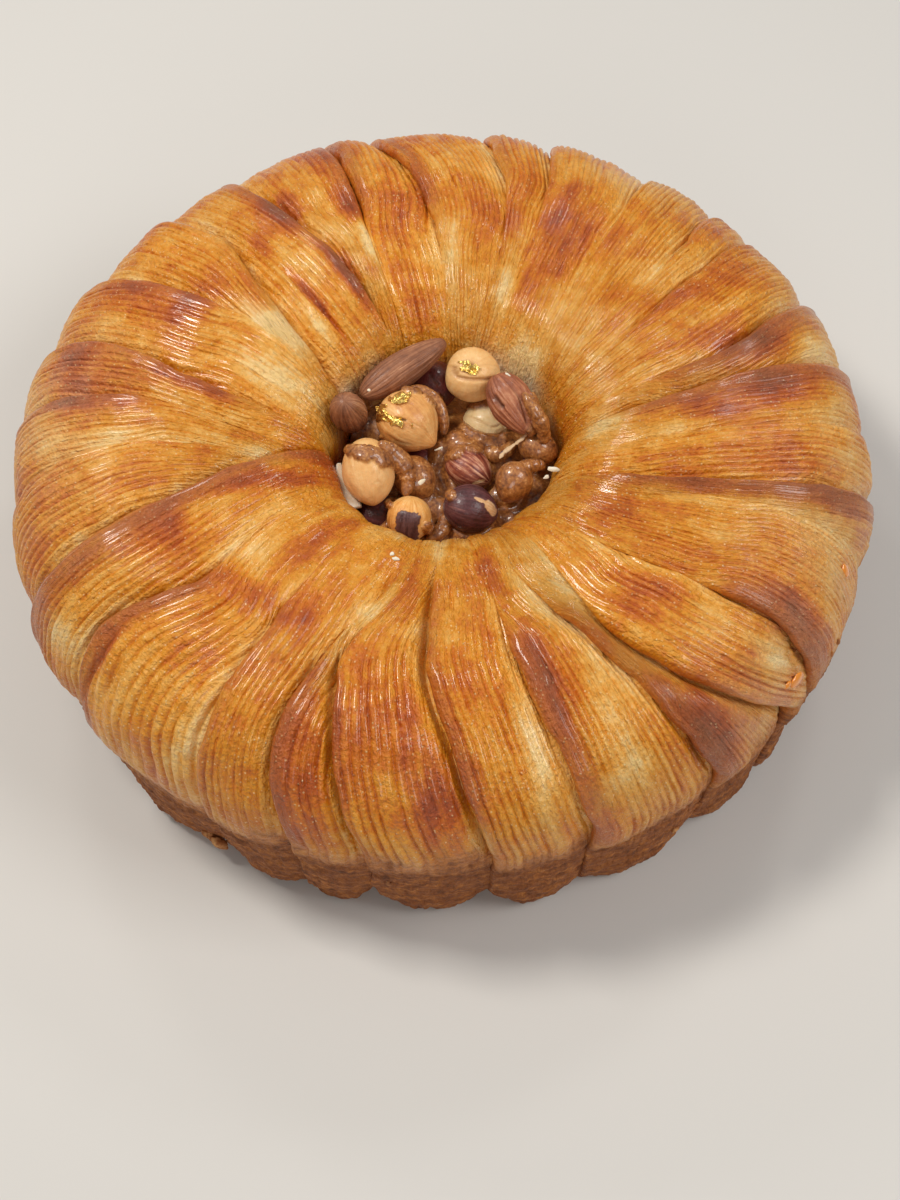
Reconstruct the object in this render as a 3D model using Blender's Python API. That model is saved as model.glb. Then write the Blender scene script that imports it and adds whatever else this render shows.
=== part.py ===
# A galette des rois baked as a ring: folds of thread-cut brioche round a centre filled with praline
# and nuts. The loaf is one solid. The praline, each nut and the almond flake are solids of their own.
# Lengths in the tables are millimetres, angles are degrees from +X towards +Y, and +Z is up.
import bmesh
import bpy
import math
from mathutils import Matrix, Vector

MM = 0.001

# Loaf, as a profile turned about Z
OUTER_RADIUS = 110.0
MOULD_TOP_RADIUS = 107.4
MOULD_TOP_HEIGHT = 34.5
BASE_RADIUS = 106.2
BULGE_HEIGHT = 37.7
CREST_RADIUS = 62.3
CREST_HEIGHT = 70.7
OUTER_ROUNDING = 2.53
HOLE_RADIUS = 29.2
HOLE_TOP_HEIGHT = 48.7
INNER_ROUNDING = 2.34
HOLE_SHIFT = (1.2, -2.8)
SKIN_ROWS = (0, 4, 9, 15, 22, 30, 38, 46, 54, 62, 70, 78, 86, 93, 99, 104, 108.5, 112)
MOULD_ROWS = (31.0, 21.0, 11.0, 4.0, 0.0)
INNER_ROWS = (16.0, 34.0)
FLUTE_DEPTH = 0.8
FOOT_NOTCH = 9.0

# Each fold starts at its lip: angle at five distances from the hole, then the distance at which
# the lip first stands up, its lift, and how deeply it notches the foot of the loaf.
KNOTS = (8.0, 35.0, 57.0, 78.0, 108.0)
FOLDS = (
    (-3.0, -1.0, 4.5, 8.0, 11.0, 25, 3.0, 0.3),
    (4.0, 6.0, 11.0, 19.0, 23.0, 35, 3.6, 1.0),
    (22.0, 27.0, 32.0, 35.0, 37.0, 20, 2.6, 1.0),
    (30.0, 32.0, 36.0, 41.0, 43.5, 40, 2.4, 0.2),
    (42.0, 47.0, 50.5, 53.5, 56.0, 8, 2.6, 1.0),
    (69.0, 65.0, 66.5, 70.0, 72.0, 12, 2.2, 1.0),
    (75.5, 71.5, 75.0, 80.0, 83.0, 28, 2.5, 0.2),
    (88.0, 89.0, 93.0, 98.0, 101.0, 34, 2.2, 1.0),
    (108.0, 107.5, 106.5, 106.5, 108.5, 20, 4.2, 0.4),
    (114.0, 117.0, 120.5, 122.0, 123.5, 14, 2.4, 1.0),
    (149.0, 141.5, 136.0, 135.5, 137.0, 12, 3.6, 1.0),
    (154.0, 149.5, 150.0, 150.0, 151.5, 20, 2.6, 1.0),
    (180.0, 175.5, 167.0, 164.0, 164.5, 24, 3.4, 1.0),
    (186.0, 183.5, 177.5, 175.0, 175.0, 60, 3.4, 0.4),
    (191.0, 192.0, 190.0, 188.5, 188.5, 62, 3.2, 1.0),
    (196.0, 200.0, 202.5, 203.0, 203.5, 8, 5.0, 0.6),
    (215.0, 219.0, 221.5, 216.0, 217.0, 50, 3.8, 1.0),
    (232.0, 239.0, 237.5, 236.5, 238.5, 36, 2.8, 1.0),
    (249.0, 249.0, 247.5, 246.5, 250.0, 42, 3.6, 0.4),
    (256.0, 255.0, 253.0, 255.0, 259.0, 55, 1.8, 1.0),
    (267.0, 267.0, 267.0, 270.5, 274.5, 14, 4.0, 1.0),
    (279.0, 280.5, 282.5, 284.5, 287.5, 45, 2.8, 1.0),
    (287.5, 288.0, 295.0, 300.5, 305.0, 40, 3.2, 1.0),
    (297.0, 297.5, 300.5, 307.0, 315.0, 55, 3.4, 0.3),
    (306.0, 309.5, 317.0, 320.5, 322.5, 38, 2.4, 1.0),
    (323.0, 327.5, 335.0, 339.0, 342.0, 22, 2.8, 1.0),
    (331.0, 334.0, 340.5, 345.5, 351.0, 28, 3.2, 0.3),
    (343.0, 346.5, 352.5, 357.0, 360.0, 30, 2.4, 1.0),
)
# Folds from this row to that one stand highest at their start, the others at their end.
HIGH_AT_START = range(8, 25)

# Praline in the hole
PRALINE_RADIUS = 28.2
PRALINE_LEVEL = 45.5
PRALINE_GAP = 0.3
PRALINE_RINGS = (4.0, 8.0, 12.0, 16.0, 20.0, 24.0, 26.6)
# Mounds and hollows of its top: x, y, height, reach
PRALINE_MOUNDS = (
    (5.0, 1.5, 8.0, 7.0),
    (17.0, 2.0, 4.0, 5.0),
    (-2.0, -15.5, 4.0, 5.0),
    (2.0, 12.0, 3.0, 6.0),
    (-24.5, 3.0, -13.0, 7.0),
    (4.0, 21.0, -4.0, 6.0),
)

# Nuts: name, shape, centre, length, width, thickness, axis towards the tip, colour
NUTS = (
    ("almond_long", "almond", (-9.0, 18.0, 61.4), 26.4, 9.2, 8.2, (0.84, 0.5, 0.2), (0.22, 0.09, 0.05)),
    ("almond_left", "almond", (-23.0, 5.4, 59.3), 18.0, 9.4, 9.0, (0.1, 0.29, -0.95), (0.2, 0.08, 0.05)),
    ("hazelnut_gold", "hazelnut", (-8.2, 3.3, 58.0), 16.6, 15.2, 15.2, (0.71, -0.7, -0.13),
     (0.62, 0.3, 0.1)),
    ("hazelnut_top", "hazelnut", (8.7, 16.1, 60.1), 14.0, 14.0, 13.8, (-0.05, 0.3, -0.95),
     (0.7, 0.42, 0.18)),
    ("hazelnut_red", "hazelnut", (-1.2, 19.6, 52.2), 13.2, 11.8, 11.8, (0.33, 0.92, 0.22),
     (0.14, 0.02, 0.02)),
    ("hazelnut_pale", "hazelnut", (12.1, 8.0, 48.8), 12.6, 12.0, 12.0, (0.9, -0.12, -0.43),
     (0.75, 0.52, 0.27)),
    ("almond_red", "almond", (18.5, 4.7, 62.4), 17.4, 11.2, 9.4, (0.5, -0.78, -0.36), (0.25, 0.08, 0.04)),
    ("coated_nut_right", "hazelnut", (25.0, -2.8, 53.8), 10.4, 8.8, 7.8, (0.94, -0.29, -0.18),
     (0.28, 0.11, 0.04)),
    ("hazelnut_dark_right", "hazelnut", (22.4, 0.6, 42.8), 11.6, 10.8, 10.8, (1.0, 0.07, 0.05),
     (0.08, 0.02, 0.03)),
    ("coated_nut_front", "hazelnut", (18.0, -13.2, 53.9), 11.0, 9.5, 9.3, (-0.45, -0.76, -0.47),
     (0.28, 0.11, 0.04)),
    ("hazelnut_brown_front", "hazelnut", (15.6, -11.8, 44.6), 10.4, 9.4, 9.4, (0.96, 0.25, 0.16),
     (0.22, 0.08, 0.03)),
    ("hazelnut_dark_front", "hazelnut", (7.1, -18.6, 50.0), 14.0, 11.6, 11.6, (0.95, -0.09, -0.3),
     (0.09, 0.02, 0.03)),
    ("hazelnut_striped", "hazelnut", (7.0, -6.8, 50.9), 12.6, 10.2, 9.6, (0.8, -0.59, -0.11),
     (0.25, 0.07, 0.05)),
    ("hazelnut_big", "hazelnut", (-18.4, -11.0, 56.7), 17.2, 14.0, 14.0, (-0.18, -0.92, -0.34),
     (0.68, 0.36, 0.13)),
    ("coated_nut_left", "hazelnut", (-6.6, -9.5, 51.3), 12.2, 10.3, 10.1, (0.51, -0.73, -0.45),
     (0.28, 0.11, 0.04)),
    ("hazelnut_patched", "hazelnut", (-8.3, -22.1, 51.3), 11.6, 11.0, 11.0, (-0.13, -0.63, -0.76),
     (0.6, 0.32, 0.12)),
    ("hazelnut_dark_left", "hazelnut", (-16.1, -16.5, 44.7), 11.8, 11.2, 11.2, (0.94, -0.29, -0.18),
     (0.09, 0.02, 0.03)),
    ("hazelnut_small_red", "hazelnut", (-4.8, -1.4, 46.3), 10.4, 8.4, 8.4, (0.8, -0.51, -0.32),
     (0.16, 0.03, 0.02)),
)
NUT_SEGMENTS = 12
NUT_RINGS = 8

# Gold leaf on two hazelnuts: nut, direction from its centre, length, width, turn
GOLD_FLAKES = (
    ("hazelnut_gold", (-0.2, 0.22, 0.95), 4.6, 2.6, 40.0),
    ("hazelnut_gold", (-0.55, -0.22, 0.8), 4.8, 2.4, -25.0),
    ("hazelnut_gold", (-0.3, -0.45, 0.84), 3.6, 1.8, -10.0),
    ("hazelnut_top", (-0.09, -0.38, 0.92), 4.4, 3.0, 10.0),
)
GOLD_THICKNESS = 1.2
GOLD_LIFT = 0.15

# Almond flake between the big hazelnut and the wall of the hole
FLAKE_CENTRE = (-24.3, -12.4, 51.0)
FLAKE_LENGTH = 13.5
FLAKE_WIDTH = 4.6
FLAKE_THICKNESS = 1.1
FLAKE_AXIS = (0.35, -0.9, -0.25)
FLAKE_FACE = (0.74, 0.1, 0.66)


def material(name, color, roughness=0.5):
    """A plain material of its own for one object."""
    made = bpy.data.materials.new(name)
    made.use_nodes = True
    shader = made.node_tree.nodes["Principled BSDF"]
    shader.inputs["Base Color"].default_value = (*color, 1.0)
    shader.inputs["Roughness"].default_value = roughness
    return made


def new_object(name, mesh, color, roughness=0.5):
    """Turns a bmesh in millimetres into an object of the scene."""
    bmesh.ops.recalc_face_normals(mesh, faces=mesh.faces)
    bmesh.ops.scale(mesh, vec=(MM, MM, MM), verts=mesh.verts)
    data = bpy.data.meshes.new(name)
    mesh.to_mesh(data)
    mesh.free()
    data.materials.append(material(name, color, roughness))
    data.shade_smooth()
    data.set_sharp_from_angle(angle=math.radians(50.0))
    made = bpy.data.objects.new(name, data)
    bpy.context.collection.objects.link(made)
    return made


def smooth_step(low, high, value):
    """0 below low, 1 above high, and a smooth rise between."""
    share = min(1.0, max(0.0, (value - low) / (high - low)))
    return share * share * (3.0 - 2.0 * share)


def skin_points():
    """The baked skin of the profile, from the top of the hole's wall to the mould side."""
    points = []
    for step in range(40):
        turn = step / 39 * math.pi / 2
        reach = math.cos(turn) ** (2 / INNER_ROUNDING)
        rise = math.sin(turn) ** (2 / INNER_ROUNDING)
        points.append((CREST_RADIUS - (CREST_RADIUS - HOLE_RADIUS) * reach,
                       HOLE_TOP_HEIGHT + (CREST_HEIGHT - HOLE_TOP_HEIGHT) * rise))
    for step in range(1, 60):
        turn = math.pi / 2 - step / 59 * math.pi / 2
        reach = abs(math.cos(turn)) ** (2 / OUTER_ROUNDING)
        rise = abs(math.sin(turn)) ** (2 / OUTER_ROUNDING)
        points.append((CREST_RADIUS + (OUTER_RADIUS - CREST_RADIUS) * reach,
                       BULGE_HEIGHT + (CREST_HEIGHT - BULGE_HEIGHT) * rise))
    return points


def along_skin(points, distance):
    """Radius, height and outward normal of the skin at a distance from the hole."""
    gone = 0.0
    for (r0, z0), (r1, z1) in zip(points, points[1:]):
        length = math.hypot(r1 - r0, z1 - z0)
        if gone + length >= distance or (r1, z1) == points[-1]:
            share = min(1.0, (distance - gone) / length)
            normal = ((z0 - z1) / length, (r1 - r0) / length)
            return r0 + (r1 - r0) * share, z0 + (z1 - z0) * share, normal
        gone += length


def lip_angle(fold, distance):
    """Angle of a fold's lip at a distance from the hole, as a smooth curve through its knots."""
    place = min(max(distance, KNOTS[0]), KNOTS[-1])
    cell = max(i for i in range(len(KNOTS) - 1) if KNOTS[i] <= place)
    slopes = []
    for i in (cell, cell + 1):
        low, high = max(i - 1, 0), min(i + 1, len(KNOTS) - 1)
        slopes.append((fold[high] - fold[low]) / (KNOTS[high] - KNOTS[low]))
    width = KNOTS[cell + 1] - KNOTS[cell]
    t = (place - KNOTS[cell]) / width
    return ((2 * t**3 - 3 * t**2 + 1) * fold[cell] + (t**3 - 2 * t**2 + t) * width * slopes[0]
            + (3 * t**2 - 2 * t**3) * fold[cell + 1] + (t**3 - t**2) * width * slopes[1])


def fold_columns(count):
    """Shares across a fold: two close together at its lip, the others evenly spread."""
    return [0.0, 0.07] + [0.07 + 0.93 * i / (count - 1) for i in range(1, count - 1)]


def fold_height(share):
    """Height across a fold from its lip to its tail, as a share of its lift."""
    return smooth_step(0.0, 0.12, share) * (1.0 - share) ** 0.8 * 1.12


def loaf_columns():
    """Each column of the loaf: fold, share across it, height share, flute, foot notch, lip start."""
    columns = []
    for index, fold in enumerate(FOLDS):
        following = FOLDS[(index + 1) % len(FOLDS)]
        width = (following[4] - fold[4]) % 360
        shares = fold_columns(5 if width < 11 else 6 if width < 18 else 7)
        rising = index not in HIGH_AT_START
        for number, share in enumerate(shares):
            place = share
            height = fold_height(share)
            if rising:
                place = 0.0 if number == 0 else 1.0 - shares[-number]
                height = fold_height(1.0 - place) if number else 0.0
            flute = (number % 2) - 0.5 if number else 0.0
            columns.append((index, place, height, flute))
    return columns


def build_loaf():
    """The ring of folded brioche, with a flat underside and a hole right through it."""
    points = skin_points()
    skin = [(d, *along_skin(points, d)) for d in SKIN_ROWS]
    columns = loaf_columns()
    mesh = bmesh.new()
    rings = []

    def ring(distance, radius, height, normal, relief, inset=0.0):
        row = []
        for index, place, share, flute in columns:
            fold, following = FOLDS[index], FOLDS[(index + 1) % len(FOLDS)]
            start = lip_angle(fold, distance)
            end = lip_angle(following, distance)
            if index == len(FOLDS) - 1:
                end += 360.0
            angle = math.radians(start + (end - start) * place)
            source = fold if index in HIGH_AT_START else following
            grown = smooth_step(source[5] - 12.0, source[5] + 8.0, distance)
            lift = source[6] * (0.25 + 0.75 * grown) * relief
            out = lift * (share - 0.8) + flute * FLUTE_DEPTH * min(1.0, relief * 1.5)
            notch = fold[7] * max(0.0, 1.0 - place * 2.6)
            notch = max(notch, following[7] * max(0.0, 1.0 - (1.0 - place) * 2.6))
            r = radius + normal[0] * out - inset * (1.5 + FOOT_NOTCH * notch**1.5)
            shift = 1.0 - smooth_step(HOLE_RADIUS, CREST_RADIUS, radius)
            row.append(mesh.verts.new((r * math.cos(angle) + HOLE_SHIFT[0] * shift,
                                       r * math.sin(angle) + HOLE_SHIFT[1] * shift,
                                       height + normal[1] * out)))
        rings.append(row)

    for distance, radius, height, normal in skin:
        relief = 0.3 + 0.7 * smooth_step(0.0, 45.0, distance)
        ring(distance, radius, height, normal, relief)
    for height in MOULD_ROWS:
        radius = BASE_RADIUS + (MOULD_TOP_RADIUS - BASE_RADIUS) * height / MOULD_TOP_HEIGHT
        inset = max(0.0, (21.0 - height) / 21.0) ** 2.2
        ring(150.0 - height, radius, height, (1.0, 0.0), 0.25 + 0.3 * height / 31.0, inset)
    ring(8.0, HOLE_RADIUS, 0.0, (1.0, 0.0), 0.0)
    for height in INNER_ROWS:
        ring(8.0, HOLE_RADIUS, height, (1.0, 0.0), 0.0)
    count = len(columns)
    for lower, upper in zip(rings, rings[1:] + rings[:1]):
        for i in range(count):
            mesh.faces.new((lower[i], lower[(i + 1) % count], upper[(i + 1) % count], upper[i]))
    bmesh.ops.triangulate(mesh, faces=mesh.faces)
    return new_object("loaf", mesh, (0.6, 0.25, 0.05), 0.45)


def nut_mesh(shape, length, width, thickness, grow=0.0):
    """A kernel along Z: a hazelnut is round with a small point, an almond is flat and tapers."""
    mesh = bmesh.new()
    bmesh.ops.create_uvsphere(mesh, u_segments=NUT_SEGMENTS, v_segments=NUT_RINGS, radius=1.0)
    for vert in mesh.verts:
        along = vert.co.z
        if shape == "almond":
            wide = 1.0 - 0.26 * along - 0.08 * along * along
        else:
            wide = 1.03 - 0.1 * max(0.0, along) ** 2 - 0.04 * along
        vert.co.x *= wide * (width / 2 + grow)
        vert.co.y *= wide * (thickness / 2 + grow)
        vert.co.z *= length / 2 + grow
    return mesh


def axis_turn(axis):
    """Turn that takes +Z to an axis."""
    return Vector(axis).normalized().to_track_quat("Z", "Y")


def place(made, centre, axis):
    """Stands an object at its centre, turned to its axis."""
    made.location = Vector(centre) * MM
    made.rotation_mode = "QUATERNION"
    made.rotation_quaternion = axis_turn(axis)


def build_nuts():
    """Every kernel as its own object, and a slightly larger cutter for the praline."""
    nuts, cutters = {}, []
    for name, shape, centre, length, width, thickness, axis, color in NUTS:
        made = new_object(name, nut_mesh(shape, length, width, thickness), color, 0.4)
        place(made, centre, axis)
        nuts[name] = made
        cutter = new_object("cut_" + name, nut_mesh(shape, length, width, thickness, PRALINE_GAP),
                            color)
        place(cutter, centre, axis)
        cutters.append(cutter)
    return nuts, cutters


def boolean(target, tool, operation):
    """Joins a tool to a target or cuts it away, and keeps the tool out of the scene's parts."""
    step = target.modifiers.new(tool.name, "BOOLEAN")
    step.operation = operation
    step.solver = "EXACT"
    step.object = tool
    tool.hide_render = True
    tool.display_type = "WIRE"


def add_gold(nuts):
    """Creased flakes of leaf, fused to the nuts that carry them."""
    sizes = {row[0]: row for row in NUTS}
    for number, (name, direction, length, width, turn) in enumerate(GOLD_FLAKES):
        row = sizes[name]
        centre, radius = Vector(row[2]), (row[4] + row[5]) / 4
        mesh = bmesh.new()
        bmesh.ops.create_circle(mesh, cap_ends=True, segments=7, radius=0.5)
        for vert in mesh.verts:
            reach = 1.0 + 0.25 * math.sin(5.0 * vert.co.x + 9.0 * vert.co.y + number)
            vert.co.x *= length * reach
            vert.co.y *= width * reach
        top = bmesh.ops.extrude_face_region(mesh, geom=mesh.faces[:])["geom"]
        moved = [item for item in top if isinstance(item, bmesh.types.BMVert)]
        bmesh.ops.translate(mesh, vec=(0.0, 0.0, GOLD_THICKNESS), verts=moved)
        flake = new_object("flake_%d" % number, mesh, (0.9, 0.6, 0.15), 0.2)
        face = Vector(direction).normalized()
        spot = centre + face * (radius + GOLD_LIFT - GOLD_THICKNESS * 0.7)
        flake.rotation_mode = "QUATERNION"
        flake.rotation_quaternion = axis_turn(face) @ Matrix.Rotation(math.radians(turn), 3, "Z") \
            .to_quaternion()
        flake.location = spot * MM
        boolean(nuts[name], flake, "UNION")


def praline_height(x, y):
    """Height of the praline's top over a point of the hole."""
    height = PRALINE_LEVEL
    for mound_x, mound_y, rise, reach in PRALINE_MOUNDS:
        away = math.hypot(x - mound_x, y - mound_y) / reach
        height += rise * math.exp(-away * away)
    return height


def build_praline(cutters):
    """Praline that fills the hole up to the level that shows, cut round every nut."""
    mesh = bmesh.new()
    count = 28
    top, rings = None, []
    for radius in PRALINE_RINGS + (PRALINE_RADIUS, PRALINE_RADIUS):
        row = []
        for i in range(count):
            angle = 2 * math.pi * i / count
            x = HOLE_SHIFT[0] + radius * math.cos(angle)
            y = HOLE_SHIFT[1] + radius * math.sin(angle)
            low = len(rings) == len(PRALINE_RINGS) + 1
            row.append(mesh.verts.new((x, y, 0.0 if low else praline_height(x, y))))
        rings.append(row)
    top = mesh.verts.new((HOLE_SHIFT[0], HOLE_SHIFT[1], praline_height(*HOLE_SHIFT)))
    for i in range(count):
        mesh.faces.new((top, rings[0][i], rings[0][(i + 1) % count]))
    for inner, outer in zip(rings, rings[1:]):
        for i in range(count):
            mesh.faces.new((inner[i], outer[i], outer[(i + 1) % count], inner[(i + 1) % count]))
    mesh.faces.new(list(reversed(rings[-1])))
    bmesh.ops.triangulate(mesh, faces=mesh.faces)
    made = new_object("praline", mesh, (0.28, 0.11, 0.04), 0.35)
    for cutter in cutters:
        boolean(made, cutter, "DIFFERENCE")
    return made


def build_flake():
    """A thin sliver of white almond with rounded ends."""
    mesh = bmesh.new()
    bmesh.ops.create_circle(mesh, cap_ends=True, segments=16, radius=0.5)
    for vert in mesh.verts:
        vert.co.x *= FLAKE_WIDTH * (1.0 - 0.35 * vert.co.y)
        vert.co.y *= FLAKE_LENGTH
    top = bmesh.ops.extrude_face_region(mesh, geom=mesh.faces[:])["geom"]
    moved = [item for item in top if isinstance(item, bmesh.types.BMVert)]
    bmesh.ops.translate(mesh, vec=(0.0, 0.0, FLAKE_THICKNESS), verts=moved)
    bmesh.ops.translate(mesh, vec=(0.0, 0.0, -FLAKE_THICKNESS / 2), verts=mesh.verts)
    made = new_object("almond_flake", mesh, (0.8, 0.72, 0.58), 0.5)
    along = Vector(FLAKE_AXIS).normalized()
    face = Vector(FLAKE_FACE)
    face = (face - along * face.dot(along)).normalized()
    side = along.cross(face)
    made.location = Vector(FLAKE_CENTRE) * MM
    made.rotation_mode = "QUATERNION"
    made.rotation_quaternion = Matrix((side, along, face)).transposed().to_quaternion()
    return made


for old in list(bpy.data.objects):
    bpy.data.objects.remove(old, do_unlink=True)
loaf = build_loaf()
kernels, kernel_cutters = build_nuts()
add_gold(kernels)
flake = build_flake()
flake_cutter = flake.copy()
flake_cutter.data = flake.data.copy()
flake_cutter.name = "cut_almond_flake"
flake_cutter.scale = (1.1, 1.05, 1.5)
bpy.context.collection.objects.link(flake_cutter)
praline = build_praline(kernel_cutters + [flake_cutter])
whole = bpy.data.objects.new("galette", None)
bpy.context.collection.objects.link(whole)
for piece in [loaf, praline, flake, *kernels.values()]:
    piece.parent = whole
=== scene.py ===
# %% [markdown]
# # A ring-shaped galette des rois
#
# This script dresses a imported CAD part: a brioche crown of folded, finely scored dough, baked
# golden brown and glazed, round a centre of praline, hazelnuts and almonds. It builds the folds,
# the mould-baked side, the nuts, the praline, gold leaf and crumbs, then lights them simply.

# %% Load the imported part
import bmesh
import bpy
import math
import numpy as np
from collections import namedtuple
from mathutils import Matrix, Vector


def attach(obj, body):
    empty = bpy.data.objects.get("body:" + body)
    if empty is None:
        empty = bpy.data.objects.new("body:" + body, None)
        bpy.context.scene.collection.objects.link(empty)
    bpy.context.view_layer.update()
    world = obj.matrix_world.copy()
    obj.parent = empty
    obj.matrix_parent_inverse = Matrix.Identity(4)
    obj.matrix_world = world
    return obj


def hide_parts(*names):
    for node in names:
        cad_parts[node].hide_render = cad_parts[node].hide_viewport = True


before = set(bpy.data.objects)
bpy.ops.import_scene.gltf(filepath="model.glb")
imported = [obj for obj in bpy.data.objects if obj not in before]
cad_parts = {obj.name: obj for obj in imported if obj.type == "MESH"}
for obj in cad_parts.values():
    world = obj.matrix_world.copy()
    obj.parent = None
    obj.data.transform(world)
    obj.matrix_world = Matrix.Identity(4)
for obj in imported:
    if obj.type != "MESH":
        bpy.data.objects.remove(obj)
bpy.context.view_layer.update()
print("CAD nodes:", len(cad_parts))

# %% [markdown]
# ## Sizes
#
# The loaf is a ring turned about Z. Its skin rises from the wall of the hole over a broad crest and
# down to a bulge, where the dough swelled out of its mould. Below the bulge the side is as straight
# as the mould. The solids were made with the same lengths, in millimetres, apart from the notches
# between the feet, which are shallower here.

# %% Driving dimensions
MM = 0.001
OUTER_RADIUS = 110.0
MOULD_TOP_RADIUS = 107.4
BASE_RADIUS = 106.2
BULGE_HEIGHT = 37.7
CREST_RADIUS = 62.3
CREST_HEIGHT = 70.7
OUTER_ROUNDING = 2.53
HOLE_RADIUS = 29.2
HOLE_TOP_HEIGHT = 48.7
INNER_ROUNDING = 2.34
HOLE_SHIFT = (1.2, -2.8)
WALL_DEPTH = 22.0
FOOT_NOTCH = 6.5
FOOT_HEIGHT = 21.0

# Each row is one fold's first edge: its angle at five distances from the hole, the distance where
# a lip starts to stand up there, the lip's lift, how deep the edge notches the foot, how brown the
# lip is baked, and the width of its smooth strip.
KNOTS = (8.0, 35.0, 57.0, 78.0, 108.0)
Fold = namedtuple("Fold", "angles start lift notch brown strip")
FOLDS = tuple(Fold(row[:5], *row[5:]) for row in (
    (-3.0, -1.0, 4.5, 8.0, 11.0, 25, 3.0, 0.3, 0.9, 6.0),
    (4.0, 6.0, 11.5, 19.0, 24.0, 38, 3.6, 1.0, 1.0, 7.0),
    (22.0, 24.0, 30.0, 34.0, 37.0, 40, 1.5, 1.0, 0.3, 1.5),
    (30.0, 32.0, 36.0, 41.0, 43.5, 62, 2.0, 0.2, 0.3, 2.0),
    (42.0, 47.0, 50.5, 53.5, 56.0, 68, 1.5, 1.0, 0.1, 1.0),
    (69.0, 65.0, 66.5, 70.0, 72.0, 60, 2.2, 1.0, 0.3, 2.0),
    (75.5, 71.5, 75.0, 80.0, 83.0, 58, 2.0, 0.2, 0.4, 3.0),
    (88.0, 89.0, 93.0, 98.0, 101.0, 42, 2.2, 1.0, 0.6, 4.0),
    (108.0, 107.5, 106.5, 106.5, 108.5, 48, 4.0, 0.4, 0.6, 4.0),
    (112.0, 117.0, 121.0, 123.0, 123.5, 20, 2.4, 1.0, 0.8, 4.0),
    (150.0, 142.0, 135.5, 135.5, 137.0, 14, 3.4, 1.0, 0.3, 3.0),
    (154.0, 149.5, 149.8, 150.0, 151.5, 44, 3.0, 1.0, 0.5, 4.0),
    (180.0, 174.5, 167.0, 164.0, 164.5, 26, 3.4, 1.0, 0.5, 5.0),
    (198.0, 184.0, 177.0, 175.0, 175.0, 56, 3.2, 0.4, 0.7, 3.0),
    (202.0, 193.0, 187.5, 187.0, 189.5, 66, 2.4, 1.0, 0.2, 2.0),
    (184.0, 199.0, 202.2, 202.8, 203.5, 6, 4.8, 0.6, 1.0, 7.5),
    (215.0, 219.0, 221.5, 216.0, 217.5, 55, 4.2, 1.0, 1.2, 4.5),
    (232.0, 238.0, 237.5, 236.6, 238.5, 50, 2.6, 1.0, 0.5, 2.5),
    (256.0, 257.0, 249.0, 246.2, 250.0, 58, 3.4, 0.4, 0.7, 4.0),
    (259.0, 260.0, 252.0, 254.0, 259.5, 60, 2.2, 1.0, 0.5, 2.0),
    (267.0, 267.0, 266.5, 270.5, 275.0, 36, 3.6, 1.0, 0.5, 3.0),
    (279.0, 280.5, 282.2, 284.3, 287.5, 50, 2.4, 0.6, 0.7, 5.0),
    (287.5, 288.0, 295.5, 299.5, 305.0, 46, 2.6, 1.0, 0.8, 5.0),
    (297.0, 297.5, 299.3, 305.6, 318.5, 55, 3.8, 0.3, 0.0, 4.5),
    (306.0, 309.5, 316.0, 320.8, 323.5, 66, 2.6, 1.0, 0.9, 4.5),
    (323.0, 327.5, 335.0, 339.0, 342.0, 80, 1.4, 1.0, 0.1, 1.0),
    (331.0, 334.0, 340.0, 345.0, 352.0, 28, 3.0, 0.3, 0.9, 5.5),
    (343.0, 346.5, 352.5, 356.5, 360.5, 84, 1.4, 1.0, 0.3, 1.5),
))
# Rows whose lip stands at their first edge. The lips of the other rows stand at their last edge.
HIGH_AT_START = range(8, 25)
# The row that lies over all its neighbours near the hole, and how many of the rows dive under it.
OVER_ALL = 15
UNDER_IT = 3
DIVE = 6.0
# How deep an edge sinks where no lip covers it.
VALLEY = 0.9
# How far a crack opens under some lips, by the row of the lip.
GAPE = {0: 1.0, 1: 1.2, 9: 1.2, 10: 2.0, 12: 1.2, 15: 1.2, 16: 1.6, 18: 1.0, 19: 2.2, 20: 3.2,
        22: 1.0, 23: 1.2}
CLOSED_GAPE = 0.5

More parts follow.
